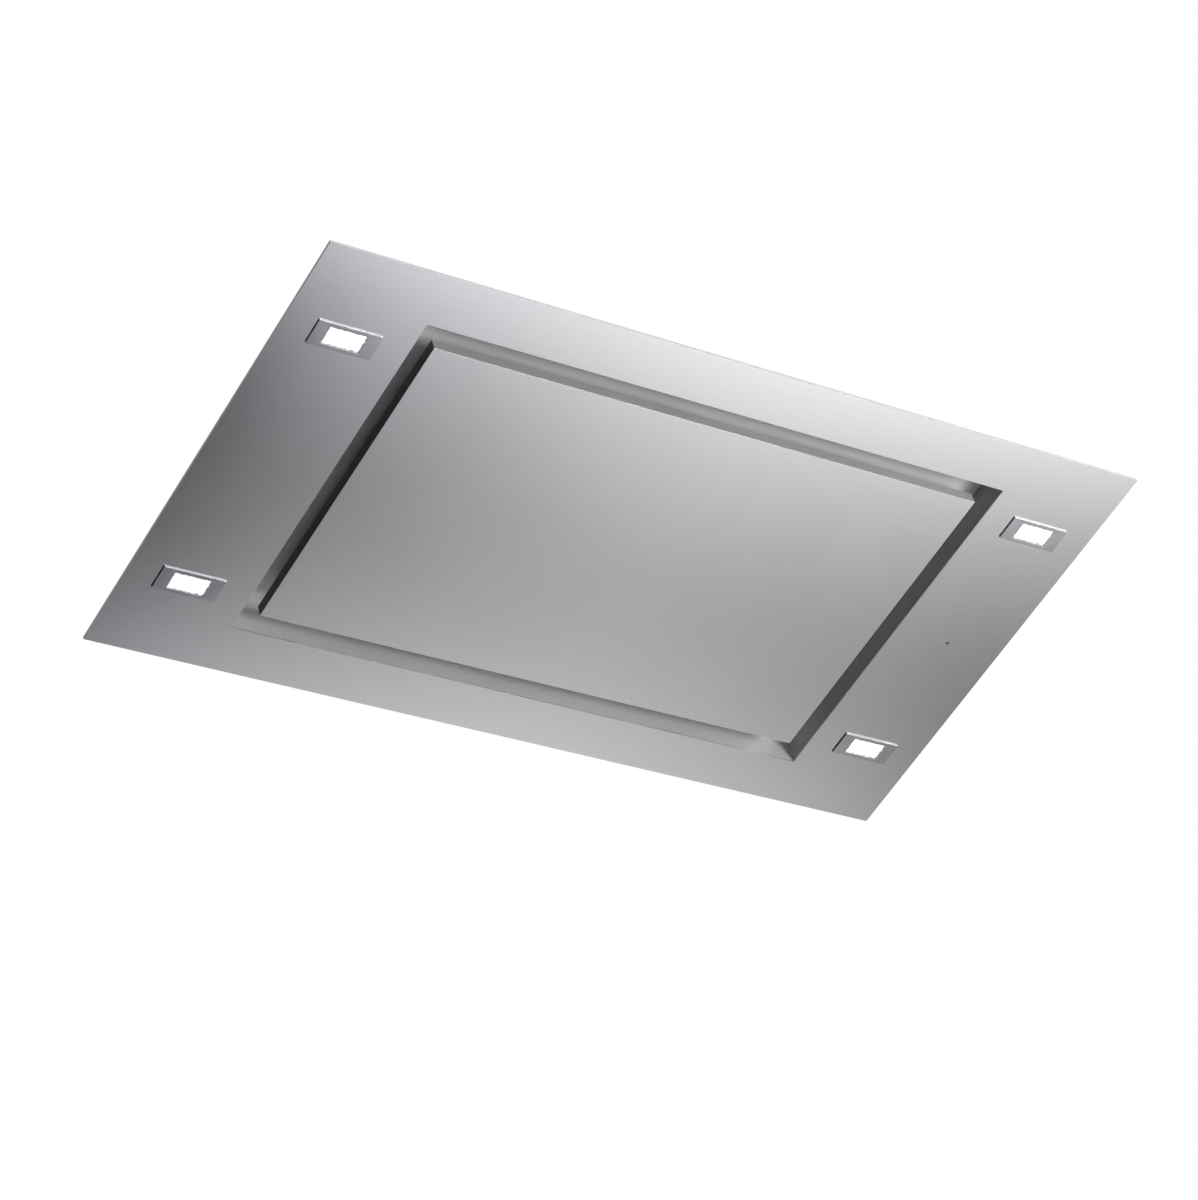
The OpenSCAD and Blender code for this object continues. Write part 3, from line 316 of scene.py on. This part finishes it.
blackMoulding = {
    "light": (0.042, 0.042, 0.044), "dark": (0.028, 0.028, 0.030),
    "skin": 900.0, "clouds": 14.0, "rough": (0.42, 0.58), "bump": (0.30, 0.0001),
}
greyMoulding = {
    "light": (0.34, 0.35, 0.36), "dark": (0.29, 0.30, 0.31),
    "skin": 800.0, "clouds": 14.0, "rough": (0.38, 0.52), "bump": (0.25, 0.0001),
}
bushRubber = {
    "light": (0.026, 0.026, 0.026), "dark": (0.016, 0.016, 0.016),
    "skin": 600.0, "clouds": 60.0, "rough": (0.68, 0.82), "bump": (0.35, 0.0002),
}
whiteCan = {
    "light": (0.82, 0.82, 0.81), "dark": (0.76, 0.76, 0.75),
    "skin": 500.0, "clouds": 50.0, "rough": (0.26, 0.36), "bump": (0.08, 0.0001),
}

# Receiver: red filter plastic with a thin gloss over it

receiverLook = {
    "light": (0.17, 0.022, 0.024), "dark": (0.10, 0.012, 0.014),
    "cells": 900.0, "cellDetail": 2.0, "rough": (0.38, 0.50), "gloss": 0.08,
}


def receiverPlastic(name, look):
    made, tree, shader = newMaterial(name)
    cells = noise(tree, ownPlace(tree), look["cells"], look["cellDetail"])
    colour = blendColours(tree, remap(tree, cells, 0, 1), look["dark"], look["light"])
    tree.links.new(colour, shader.inputs["Base Color"])
    tree.links.new(remap(tree, cells, *look["rough"]), shader.inputs["Roughness"])
    shader.inputs["Coat Weight"].default_value = look["gloss"]
    return made


# Lamp window: opal plastic lit from behind, dimmer and uneven towards its edges

lampLook = {
    "bright": (1.0, 1.0, 1.0), "soft": (0.13, 0.13, 0.15), "strength": 1.7,
    "body": (0.40, 0.40, 0.42),
    "half": (0.0189, 0.0096),  # the window's half length and half width
    "fade": 0.0060, "fadeRange": (0.55, 1.15),
    "blotches": 260.0, "blotchDetail": 1.0, "sway": 0.35,
    "frost": 1200.0, "frostDetail": 2.0, "rough": (0.35, 0.5), "bump": (0.2, 0.00005),
}


def lampDiffuser(name, look):
    made, tree, shader = newMaterial(name)
    place = addNode(tree, "TexCoord").outputs["Object"]
    axes = addNode(tree, "SeparateXYZ", Vector=place)
    nearEdge = []
    for axis, half in zip("XY", look["half"]):
        fromMiddle = addMath(tree, "ABSOLUTE", axes.outputs[axis])
        nearEdge.append(remap(tree, fromMiddle, 0, 1, half - look["fade"], half))
    edges = addMath(tree, "MAXIMUM", *nearEdge)
    blotches = noise(tree, place, look["blotches"], look["blotchDetail"])
    total = addMath(tree, "ADD", edges, remap(tree, blotches, -look["sway"], look["sway"]))
    share = remap(tree, total, 0, 1, *look["fadeRange"])
    colour = blendColours(tree, share, look["bright"], look["soft"])
    tree.links.new(colour, shader.inputs["Emission Color"])
    shader.inputs["Emission Strength"].default_value = look["strength"]
    shader.inputs["Base Color"].default_value = (*look["body"], 1)
    frost = noise(tree, place, look["frost"], look["frostDetail"])
    tree.links.new(remap(tree, frost, *look["rough"]), shader.inputs["Roughness"])
    addBump(tree, shader, frost, look["bump"])
    return made


# Control board: green lacquer over copper tracks

boardLook = {
    "lacquer": (0.015, 0.13, 0.05), "track": (0.05, 0.26, 0.10), "tracks": 260.0, "wander": 6.0,
    "trackEdge": (0.45, 0.55), "rough": (0.22, 0.34), "bump": (0.3, 0.0001),
}


def controlBoard(name, look):
    made, tree, shader = newMaterial(name)
    lines = addNode(tree, "TexWave", Vector=ownPlace(tree), Scale=look["tracks"],
                    Distortion=look["wander"], Detail=0.0).outputs["Fac"]
    share = remap(tree, lines, 0, 1, *look["trackEdge"])
    colour = blendColours(tree, share, look["lacquer"], look["track"])
    tree.links.new(colour, shader.inputs["Base Color"])
    tree.links.new(remap(tree, lines, *look["rough"]), shader.inputs["Roughness"])
    addBump(tree, shader, share, look["bump"])
    return made


finishes = {
    "brushed_stainless": grainedMetal("brushedStainless", faceSteel),
    "recess": grainedMetal("recessStainless", recessSteel),
    # Painted shade on the recess end walls, painted light on its ledge
    "end_wall": grainedMetal("endStainless", endSteelPaintedShade),
    "ledge": grainedMetal("ledgeStainless", ledgeSteelPaintedLight),
    "bezel_side": grainedMetal("bezelSide", bezelSide),
    # Painted shade: the panel's long folds darker, its ends near black
    "panel_fold": grainedMetal("panelFold", panelFold),
    "panel_end": grainedMetal("panelEnd", panelEnd),
    # Painted shade: the dark ends of the plate and the bezels
    "raw_edge": grainedMetal("rawEdge", rawEdge),
    "bezel": grainedMetal("bezelStainless", bezelSteel),
    "zinc_plated_steel": grainedMetal("zincPlate", zincPlate),
    "filter_aluminium": grainedMetal("filterFoil", filterFoil),
    "filter_rail": grainedMetal("filterRail", filterRail),
    "cast_aluminium": grainedMetal("castAluminium", castMetal),
    "galvanised_sheet": galvanisedSheet("galvanisedSheet", galvanisedLook),
    "black_moulding": mouldedSkin("blackMoulding", blackMoulding),
    "grey_moulding": mouldedSkin("greyMoulding", greyMoulding),
    "bush_rubber": mouldedSkin("bushRubber", bushRubber),
    "white_can": mouldedSkin("whiteCan", whiteCan),
    "receiver_red": receiverPlastic("receiverRed", receiverLook),
    "lamp_diffuser": lampDiffuser("lampDiffuser", lampLook),
    "circuit_board": controlBoard("circuitBoard", boardLook),
}
print("finishes mixed")

# Every CAD node takes its finish, whether or not a dressed piece stands for it.
# The frame names each node's material after its slot

nodeFinish = {nodeName: node.data.materials[0].name for nodeName, node in frame["nodes"].items()}


def coat(piece, finish):
    piece.data.materials.clear()
    piece.data.materials.append(finish)


for nodeName, node in frame["nodes"].items():
    coat(node, finishes[nodeFinish[nodeName]])

# Helpers for pieces


def pieceName(nodeName):
    first, *later = nodeName.split("_")
    return first + "".join(word.capitalize() for word in later)


def addPiece(name, mesh, body, finish, place=(0, 0, 0)):
    piece = bpy.data.objects.new(name, mesh)
    piece.location = place
    scene.collection.objects.link(piece)
    coat(piece, finish)
    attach(piece, body)
    return piece


def meshFrom(form, name):
    mesh = bpy.data.meshes.new(name)
    form.to_mesh(mesh)
    form.free()
    return mesh


# Smooth, apart from edges sharper than crease, in degrees
def smoothMeshFrom(form, name, crease):
    bmesh.ops.recalc_face_normals(form, faces=form.faces)
    mesh = meshFrom(form, name)
    mesh.shade_smooth()
    mesh.set_sharp_from_angle(angle=math.radians(crease))
    return mesh


# Faces between rings of points, and a cap at each end
def skinRings(form, rings):
    around = len(rings[0])
    for first, second in zip(rings, rings[1:]):
        for turn in range(around):
            following = (turn + 1) % around
            form.faces.new((first[turn], first[following], second[following], second[turn]))
    form.faces.new(list(reversed(rings[0])))
    form.faces.new(rings[-1])


# Sheet metal and mouldings get the rounded folds and edges that their solids leave sharp

edgeLook = {"segments": 2, "foldAngle": 38, "weld": 0.00001}  # angle in degrees


def cleanCopy(nodeName):
    mesh = frame["nodes"][nodeName].data.copy()
    form = bmesh.new()
    form.from_mesh(mesh)
    bmesh.ops.remove_doubles(form, verts=form.verts, dist=edgeLook["weld"])
    form.to_mesh(mesh)
    form.free()
    return mesh


def roundEdges(piece, radius):
    piece.data.shade_smooth()
    bevel = piece.modifiers.new("roundedEdges", "BEVEL")
    bevel.width = radius
    bevel.segments = edgeLook["segments"]
    bevel.limit_method = "ANGLE"
    bevel.angle_limit = math.radians(edgeLook["foldAngle"])
    bevel.miter_outer = "MITER_ARC"
    bevel.harden_normals = True
    weighted = piece.modifiers.new("flatFaces", "WEIGHTED_NORMAL")
    weighted.keep_sharp = True


def dressNode(nodeName, radius, finish):
    body = frame["nodes"][nodeName]["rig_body"]
    slot = nodeFinish[nodeName]
    mesh = cleanCopy(nodeName)
    piece = addPiece(pieceName(nodeName), mesh, body, finishes[finish or slot])
    roundEdges(piece, radius)
    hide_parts(nodeName)


# Edge radius in metres, and a finish of its own where the slot's isn't right
dressed = {
    "face_plate": (0.00035, None), "recess_collar": (0.0003, "recess"),
    "panel_skin": (0.00015, None), "panel_liner": (0.0004, None),
    "housing_shell": (0.0004, None), "top_cover": (0.0004, None),
    "control_box": (0.0006, None), "control_box_lid": (0.0006, None),
    "duct_collar": (0.0006, None),
    "filter_left_frame": (0.0003, "filter_rail"), "filter_right_frame": (0.0003, "filter_rail"),
    "filter_left_latch": (0.0005, None), "filter_right_latch": (0.0005, None),
    "catch_left": (0.0006, None), "catch_right": (0.0006, None),
    "scroll_left": (0.0005, None), "scroll_right": (0.0005, None),
    "led_driver": (0.0008, None), "receiver_holder": (0.0006, None),
    "cable_gland": (0.0003, None), "motor_carrier": (0.0004, None),
}
corners = (1, 2, 3, 4)  # lamps and hangers
for number in corners:
    dressed["hanger_%d" % number] = (0.0004, None)
    dressed["lamp_%d_bezel" % number] = (0.0003, "bezel")
    dressed["lamp_%d_body" % number] = (0.0003, None)
for side in ("left", "right"):
    dressed["hinge_bracket_" + side] = (0.0004, None)
    dressed["hinge_leaf_" + side] = (0.0004, None)
for nodeName, (radius, finish) in dressed.items():
    dressNode(nodeName, radius, finish)
print("edges rounded on", len(dressed), "pieces")

coatLook = {"margin": 0.0002, "facing": 0.9}  # metres from the box, share of a normal


# The outer sides of a folded sheet: the ends take a dark finish, painted shade,
# and the long sides one brushed across, which spreads the light; on the panel that one is darker
# too, painted shade
def coatSidesPaintedShade(nodeName, longFinishPartPaintedShade, endPaintedShadeFinish):
    low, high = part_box(nodeName)
    piece = bpy.data.objects[pieceName(nodeName)]
    piece.data.materials.append(finishes[longFinishPartPaintedShade])
    piece.data.materials.append(finishes[endPaintedShadeFinish])
    for face in piece.data.polygons:
        if min(face.center.y - low.y, high.y - face.center.y) < coatLook["margin"]:
            face.material_index = 1
        if min(face.center.x - low.x, high.x - face.center.x) < coatLook["margin"]:
            face.material_index = 2


# The recess's end walls get a darker finish, painted shade, and its ledge a lighter one, painted
# light
def coatRecessPaintedLightShade(nodeName, endPaintedShadeFinish, ledgePaintedLightFinish):
    piece = bpy.data.objects[pieceName(nodeName)]
    piece.data.materials.append(finishes[endPaintedShadeFinish])
    piece.data.materials.append(finishes[ledgePaintedLightFinish])
    for face in piece.data.polygons:
        if abs(face.normal.x) > coatLook["facing"]:
            face.material_index = 1
        if face.normal.z < -coatLook["facing"]:
            face.material_index = 2


# Painted shade on the plate's ends
coatSidesPaintedShade("face_plate", "recess", "raw_edge")
# Painted shade: the panel's long folds darker, its ends near black
coatSidesPaintedShade("panel_skin", "panel_fold", "panel_end")
# Painted shade on the recess end walls, painted light on its ledge
coatRecessPaintedLightShade("recess_collar", "end_wall", "ledge")
# Painted shade on the bezels' ends
for number in corners:
    coatSidesPaintedShade("lamp_%d_bezel" % number, "bezel_side", "raw_edge")

# Lamp windows: a lens with fine ribs along it, which fills the opening of its bezel

lensLook = {"ribs": 13, "ribDepth": 0.0003, "stepsPerRib": 6}


def ribbedLens(nodeName, look):
    boxLow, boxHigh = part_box(nodeName)
    place = (boxLow + boxHigh) / 2
    low, high = boxLow - place, boxHigh - place
    halfX, halfY = lampLook["half"]
    form = bmesh.new()
    steps = look["ribs"] * look["stepsPerRib"]
    rows = []
    for step in range(steps + 1):
        y = -halfY + 2 * halfY * step / steps
        valley = 0.5 - 0.5 * math.cos(2 * math.pi * look["ribs"] * step / steps)
        z = low.z + look["ribDepth"] * (1 - valley)
        rows.append([form.verts.new((end * halfX, y, z)) for end in (-1, 1)])
    near, far = [[form.verts.new((end * halfX, side * halfY, high.z)) for end in (-1, 1)]
                 for side in (-1, 1)]
    for first, second in zip(rows, rows[1:]):
        form.faces.new((first[0], second[0], second[1], first[1]))
    form.faces.new((near[0], near[1], far[1], far[0]))
    form.faces.new((rows[0][0], rows[0][1], near[1], near[0]))
    form.faces.new((rows[-1][0], far[0], far[1], rows[-1][1]))
    form.faces.new([row[0] for row in rows] + [far[0], near[0]])
    form.faces.new([row[1] for row in reversed(rows)] + [near[1], far[1]])
    bmesh.ops.recalc_face_normals(form, faces=form.faces)
    mesh = meshFrom(form, pieceName(nodeName))
    piece = addPiece(pieceName(nodeName), mesh, "hood",
                     finishes["lamp_diffuser"], place)
    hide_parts(nodeName)


for number in corners:
    ribbedLens("lamp_%d_lens" % number, lensLook)
print("lamp windows ribbed")

# Receiver: a domed window on its stem

receiverShape = {"rings": 6, "around": 32, "rise": 0.0006, "crease": 50}


def receiverWindow(nodeName, look):
    low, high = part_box(nodeName)
    middle = (low + high) / 2
    stem = (high.x - low.x) / 2
    rim = low.z + look["rise"]
    outline = []
    for step in range(1, look["rings"] + 1):
        angle = math.pi / 2 * step / look["rings"]
        outline.append((stem * math.sin(angle), rim - look["rise"] * math.cos(angle)))
    outline.append((stem, high.z))
    headings = [2 * math.pi * turn / look["around"] for turn in range(look["around"])]
    form = bmesh.new()
    rings = [[form.verts.new((middle.x + radius * math.cos(heading),
                              middle.y + radius * math.sin(heading), z)) for heading in headings]
             for radius, z in outline]
    skinRings(form, rings)
    mesh = smoothMeshFrom(form, pieceName(nodeName), look["crease"])
    piece = addPiece(pieceName(nodeName), mesh, "hood", finishes["receiver_red"])
    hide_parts(nodeName)


receiverWindow("receiver_lens", receiverShape)
print("receiver domed")

# Filter nets: three layers of expanded foil, the middle one turned and the upper one set off

netLook = {
    "wide": 0.0105, "long": 0.0062,  # one diamond
    "strand": 0.0011, "edge": 0.0012, "lift": 0.0004, "layerGap": 0.0030,
    "setOff": 0.25,  # of a diamond's width
    "latchSide": 0.0036, "latchFar": 0.0105,  # room round the latch
}


def diamondNet(nodeName, look):
    low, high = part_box(nodeName)
    middle = (low + high) / 2
    latchLow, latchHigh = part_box(nodeName.replace("net", "latch"))
    keepLeft, keepRight = latchLow.x - look["latchSide"], latchHigh.x + look["latchSide"]
    keepFar = latchHigh.y + look["latchFar"]
    body = frame["nodes"][nodeName]["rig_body"]
    for layer, layerName in enumerate(("Lower", "Middle", "Upper")):
        wide, long = look["wide"], look["long"]
        if layerName == "Middle":
            wide, long = long, wide
        shift = look["setOff"] * wide if layerName == "Upper" else 0
        z = low.z + look["lift"] + layer * look["layerGap"]
        columns = int((high.x - low.x - 2 * look["edge"]) / wide)
        rows = int((high.y - low.y - 2 * look["edge"]) / long)
        form = bmesh.new()
        points = {}
        for column in range(1, 2 * columns):
            x = middle.x + (column - columns) * wide / 2
            overLatch = keepLeft - wide / 2 < x < keepRight + wide / 2
            for row in range(1, 2 * rows):
                y = middle.y + (row - rows) * long / 2
                if (column + row) % 2 or overLatch and y < keepFar + long / 2:
                    continue
                diamond = [(column - 1, row), (column, row - 1),
                           (column + 1, row), (column, row + 1)]
                for across, down in diamond:
                    if (across, down) not in points:
                        points[across, down] = form.verts.new((
                            middle.x + shift + (across - columns) * wide / 2,
                            middle.y + (down - rows) * long / 2, z))
                form.faces.new([points[key] for key in diamond])
        mesh = meshFrom(form, pieceName(nodeName))
        piece = addPiece(pieceName(nodeName) + layerName, mesh, body,
                         finishes["filter_aluminium"])
        wires = piece.modifiers.new("strands", "WIREFRAME")
        wires.thickness = look["strand"]
        wires.use_even_offset = True
        if layer == 0:
            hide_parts(nodeName)


for side in ("left", "right"):
    diamondNet("filter_%s_net" % side, netLook)
print("filter nets woven")

# Housing trim: end sheets that lap round the corners, rivets, hem screws and pressed beads

shellLow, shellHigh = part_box("housing_shell")
shellMiddle = (shellLow + shellHigh) / 2
trimLook = {
    "lap": 0.016, "sheet": 0.0010, "endGap": 0.004,
    "rivets": 6, "firstRivet": 0.020, "rivetRadius": 0.0026, "rivetRise": 0.0012,
    "screws": {"near": 7, "far": 7, "left": 4, "right": 4},
    "screwRadius": 0.0036, "screwRise": 0.0018,
    "hem": 0.010,  # height of the screws in the hem
    "firstScrew": 2.5,  # laps from the corner
    "beadLevels": (0.32, 0.68), "beadRadius": 0.0055, "beadRise": 0.0011,
    "beadHalf": {"near": 0.30, "far": 0.30, "left": 0.13, "right": 0.13},
    "around": 24, "rings": 4, "crown": 0.93, "crease": 60,
}


# A wall that looks along X or Y: half its length, and how far it is from the middle
def wallFacing(x, y):
    along, out = (0, 1) if y else (1, 0)
    return {"out": Vector((x, y, 0)), "along": Vector((abs(y), abs(x), 0)),
            "half": (shellHigh[along] - shellLow[along]) / 2,
            "reach": (shellHigh[out] - shellLow[out]) / 2}


walls = {"near": wallFacing(0, -1), "far": wallFacing(0, 1),
         "left": wallFacing(-1, 0), "right": wallFacing(1, 0)}


def onWall(wall, along, z, out):
    return (shellMiddle + wall["along"] * along + wall["out"] * (wall["reach"] + out)
            + Vector((0, 0, z - shellMiddle.z)))


# A dome on a wall, drawn out along it where stretch isn't nought
def addDome(form, wall, along, z, radius, rise, lift=0.0, stretch=0.0):
    rings = []
    for ring in range(trimLook["rings"] + 1):
        angle = trimLook["crown"] * math.pi / 2 * ring / trimLook["rings"]
        flat = radius * math.cos(angle)
        points = []
        for turn in range(trimLook["around"]):
            heading = 2 * math.pi * (turn + 0.5) / trimLook["around"]
            side = math.copysign(stretch, math.cos(heading))
            points.append(form.verts.new(onWall(wall, along + side + flat * math.cos(heading),
                                                z + flat * math.sin(heading),
                                                lift + rise * math.sin(angle))))
        rings.append(points)
    skinRings(form, rings)


def finishTrim(name, form, slot):
    mesh = smoothMeshFrom(form, name, trimLook["crease"])
    return addPiece(name, mesh, "hood", finishes[slot])


def cornerLap(name, wall, end, look):
    low, high = shellLow.z + look["endGap"], shellHigh.z - look["endGap"]
    corner = end * wall["half"]
    inner = corner - end * look["lap"]
    slant = look["lap"] / 2
    outline = [(corner, low), (corner, high), (inner, high - slant), (inner, low + slant)]
    form = bmesh.new()
    back = [form.verts.new(onWall(wall, along, z, 0)) for along, z in outline]
    front = [form.verts.new(onWall(wall, along, z, look["sheet"])) for along, z in outline]
    form.faces.new(back)
    form.faces.new(list(reversed(front)))
    for first in range(4):
        second = (first + 1) % 4
        form.faces.new((back[first], back[second], front[second], front[first]))
    piece = finishTrim(name, form, "galvanised_sheet")
    roundEdges(piece, look["sheet"] / 3)


def spread(count, low, high):
    return [low + (high - low) * number / (count - 1) for number in range(count)]


def trimWall(place, wall, look):
    if place in ("near", "far"):
        rivets = bmesh.new()
        levels = spread(look["rivets"], shellLow.z + look["firstRivet"],
                        shellHigh.z - look["firstRivet"])
        for end, endName in ((-1, "Left"), (1, "Right")):
            cornerLap("cornerLap_" + place + endName, wall, end, look)
            for z in levels:
                addDome(rivets, wall, end * (wall["half"] - look["lap"] / 2), z,
                        look["rivetRadius"], look["rivetRise"], look["sheet"])
        finishTrim("cornerRivets_" + place, rivets, "zinc_plated_steel")
    screws = bmesh.new()
    last = wall["half"] - look["firstScrew"] * look["lap"]
    for along in spread(look["screws"][place], -last, last):
        addDome(screws, wall, along, shellLow.z + look["hem"],
                look["screwRadius"], look["screwRise"])
    finishTrim("hemScrews_" + place, screws, "zinc_plated_steel")
    beads = bmesh.new()
    for share in look["beadLevels"]:
        z = shellLow.z + share * (shellHigh.z - shellLow.z)
        addDome(beads, wall, 0, z, look["beadRadius"], look["beadRise"],
                stretch=look["beadHalf"][place])
    finishTrim("pressedBeads_" + place, beads, "galvanised_sheet")


for place, wall in walls.items():
    trimWall(place, wall, trimLook)
print("housing trimmed")

# Ceiling, floor, and the graded card and black flag that the steel mirrors

stageLook = {
    "ceilingSize": 9.0, "ceilingTone": 0.8, "ceilingWhite": 1.0, "hole": (0.430, 0.230),
    "floorSize": 80.0, "floorDrop": 2.92, "floorTone": 0.86, "floorWhite": 0.97,
    "cardDrop": 1.1, "cardHalf": (1.9, 1.6), "cardMiddle": (0.80, 0.83),
    "flagX": -1.02, "flagY": (-2.30, 2.40), "flagZ": (-2.60, -0.04), "flagTone": 0.02,
}


def flatMesh(name, points, faces=((0, 1, 2, 3),)):
    mesh = bpy.data.meshes.new(name)
    mesh.from_pydata(points, [], faces)
    mesh.update()
    return mesh


def aroundMiddle(middle, half, z):
    (midX, midY), (halfX, halfY) = middle, half
    return [(midX + x * halfX, midY + y * halfY, z)
            for x, y in ((-1, -1), (1, -1), (1, 1), (-1, 1))]


def addStage(name, mesh, finish):
    thing = bpy.data.objects.new(name, mesh)
    scene.collection.objects.link(thing)
    thing.data.materials.append(finish)
    return thing


# For what only the steel sees
def addMirrored(name, mesh, finish):
    thing = addStage(name, mesh, finish)
    thing.visible_camera = False
    thing.visible_shadow = False


def seenDirectly(tree):
    path = addNode(tree, "LightPath")
    first = addMath(tree, "MAXIMUM", path.outputs["Is Camera Ray"], path.outputs["Is Glossy Ray"])
    return addMath(tree, "MAXIMUM", first, path.outputs["Is Transmission Ray"])


def paleFinish(name, tone, whiteness, oneSided):
    made, tree = emptyMaterial(name)
    plaster = addNode(tree, "BsdfDiffuse", Color=(tone, tone, tone, 1))
    white = addNode(tree, "Emission", Color=(1, 1, 1, 1), Strength=1.0)
    share = addMath(tree, "MULTIPLY", seenDirectly(tree), whiteness)
    result = mixShaders(tree, share, plaster.outputs["BSDF"], white.outputs["Emission"])
    if oneSided:
        side = addNode(tree, "NewGeometry")
        clear = addNode(tree, "BsdfTransparent")
        result = mixShaders(tree, side.outputs["Backfacing"], result, clear.outputs["BSDF"])
    addNode(tree, "OutputMaterial", Surface=result)
    return made


# A square ring, open where the housing goes up through it
def ceilingSheet(look):
    outer = look["ceilingSize"] / 2
    points = aroundMiddle((0, 0), (outer, outer), 0) + aroundMiddle((0, 0), look["hole"], 0)
    return flatMesh("ceiling", points, [(0, 4, 5, 1), (1, 5, 6, 2), (2, 6, 7, 3), (3, 7, 4, 0)])


def floorSheet(look):
    half = look["floorSize"] / 2
    return flatMesh("floor", aroundMiddle((0, 0), (half, half), -look["floorDrop"]))


addStage("ceiling", ceilingSheet(stageLook),
         paleFinish("ceilingWhite", stageLook["ceilingTone"], stageLook["ceilingWhite"], True))
addStage("floor", floorSheet(stageLook),
         paleFinish("floorWhite", stageLook["floorTone"], stageLook["floorWhite"], False))

# Brightness of the card: stops along Y and X, each a place and a level, added together
cardLook = {
    "alongY": ((-0.50, 0.0), (-0.10, 0.5), (0.22, 1.8), (0.34, 2.0), (0.44, 1.86), (0.53, 0.97),
               (0.60, 0.88), (0.66, 0.80), (0.745, 0.69), (0.84, 0.54), (0.92, 0.585), (1.00, 0.61),
               (1.06, 0.665), (1.12, 0.83), (1.20, 0.99), (1.45, 1.10)),
    "levelsY": (0.0, 2.0),
    "alongX": ((-0.20, -1.0), (0.10, -0.80), (0.21, -0.45), (0.32, -0.32), (0.40, -0.25),
               (0.52, -0.18), (0.66, -0.08), (0.80, 0.0), (0.94, -0.02), (1.08, -0.09),
               (1.21, -0.15), (1.30, -0.18), (1.42, -0.28), (1.60, -0.60), (1.90, -0.80)),
    "levelsX": (-1.0, 1.0),
    "least": 0.05,
    "tint": ((0.95, 0.94, 1.03), (1.0, 1.0, 1.0)), "tintAlongX": (0.1, 0.6),
}


def curveNode(tree, value, stops, levels):
    (start, startLevel), (end, endLevel) = stops[0], stops[-1]
    low, high = levels
    curve = addNode(tree, "FloatCurve", Value=remap(tree, value, 0, 1, start, end))
    line = curve.mapping.curves[0]
    for place, level in stops[1:-1]:
        line.points.new((place - start) / (end - start), (level - low) / (high - low))
    line.points[0].location = (0, (startLevel - low) / (high - low))
    line.points[-1].location = (1, (endLevel - low) / (high - low))
    curve.mapping.update()
    return remap(tree, curve.outputs["Value"], low, high, 0, 1)


def gradedCard(name, look):
    made, tree = emptyMaterial(name)
    place = addNode(tree, "TexCoord")
    axes = addNode(tree, "SeparateXYZ", Vector=place.outputs["Object"])
    lengthwise = curveNode(tree, axes.outputs["X"], look["alongX"], look["levelsX"])
    across = curveNode(tree, axes.outputs["Y"], look["alongY"], look["levelsY"])
    level = addMath(tree, "MAXIMUM", addMath(tree, "ADD", lengthwise, across), look["least"])
    warmth = remap(tree, axes.outputs["X"], 0, 1, *look["tintAlongX"])
    tinted = blendColours(tree, warmth, *look["tint"])
    glow = addNode(tree, "Emission", Color=tinted, Strength=level)
    addNode(tree, "OutputMaterial", Surface=glow.outputs["Emission"])
    return made


def placeCard(look):
    points = aroundMiddle(look["cardMiddle"], look["cardHalf"], -look["cardDrop"])
    addMirrored("card", flatMesh("card", points), gradedCard("cardGrade", cardLook))


# At the left, where it keeps light off the walls that face it
def placeFlag(look):
    (nearY, farY), (low, high), x = look["flagY"], look["flagZ"], look["flagX"]
    points = [(x, nearY, low), (x, farY, low), (x, farY, high), (x, nearY, high)]
    black, _, shader = newMaterial("flagBlack")
    shader.inputs["Base Color"].default_value = (*[look["flagTone"]] * 3, 1)
    shader.inputs["Roughness"].default_value = 1.0
    addMirrored("flag", flatMesh("flag", points), black)


placeCard(stageLook)
placeFlag(stageLook)
print("stage set")

# Lamps and world

lamps = {
    "key": {"place": (1.45, -1.75, -2.0), "aim": (0, 0, 0), "size": 1.2, "power": 84.0},
    "above": {"place": (-1.6, -2.2, 2.6), "aim": (0, 0, 0.1), "size": 2.4, "power": 130.0},
    "behind": {"place": (2.4, 2.0, 1.8), "aim": (0, 0, 0.1), "size": 2.0, "power": 70.0},
}


def addLamp(name, look):
    light = bpy.data.lights.new(name, "AREA")
    light.shape = "SQUARE"
    light.size = look["size"]
    light.energy = look["power"]
    holder = bpy.data.objects.new(name, light)
    place, aim = Vector(look["place"]), Vector(look["aim"])
    turn = (place - aim).to_track_quat("Z", "Y").to_matrix().to_4x4()
    holder.matrix_world = Matrix.Translation(place) @ turn
    holder.visible_camera = False
    scene.collection.objects.link(holder)


for name, look in lamps.items():
    addLamp(name, look)

worldLook = {"soft": 0.32}  # strength for what isn't seen directly


def makeWorld(look):
    world = bpy.data.worlds.new("studio")
    world.use_nodes = True
    tree = world.node_tree
    tree.nodes.clear()
    soft = addNode(tree, "Background", Color=(1, 1, 1, 1), Strength=look["soft"])
    white = addNode(tree, "Background", Color=(1, 1, 1, 1), Strength=1.0)
    result = mixShaders(tree, seenDirectly(tree), soft.outputs["Background"],
                        white.outputs["Background"])
    addNode(tree, "OutputWorld", Surface=result)
    scene.world = world


makeWorld(worldLook)
scene.view_settings.view_transform = "Standard"
print("lights placed")
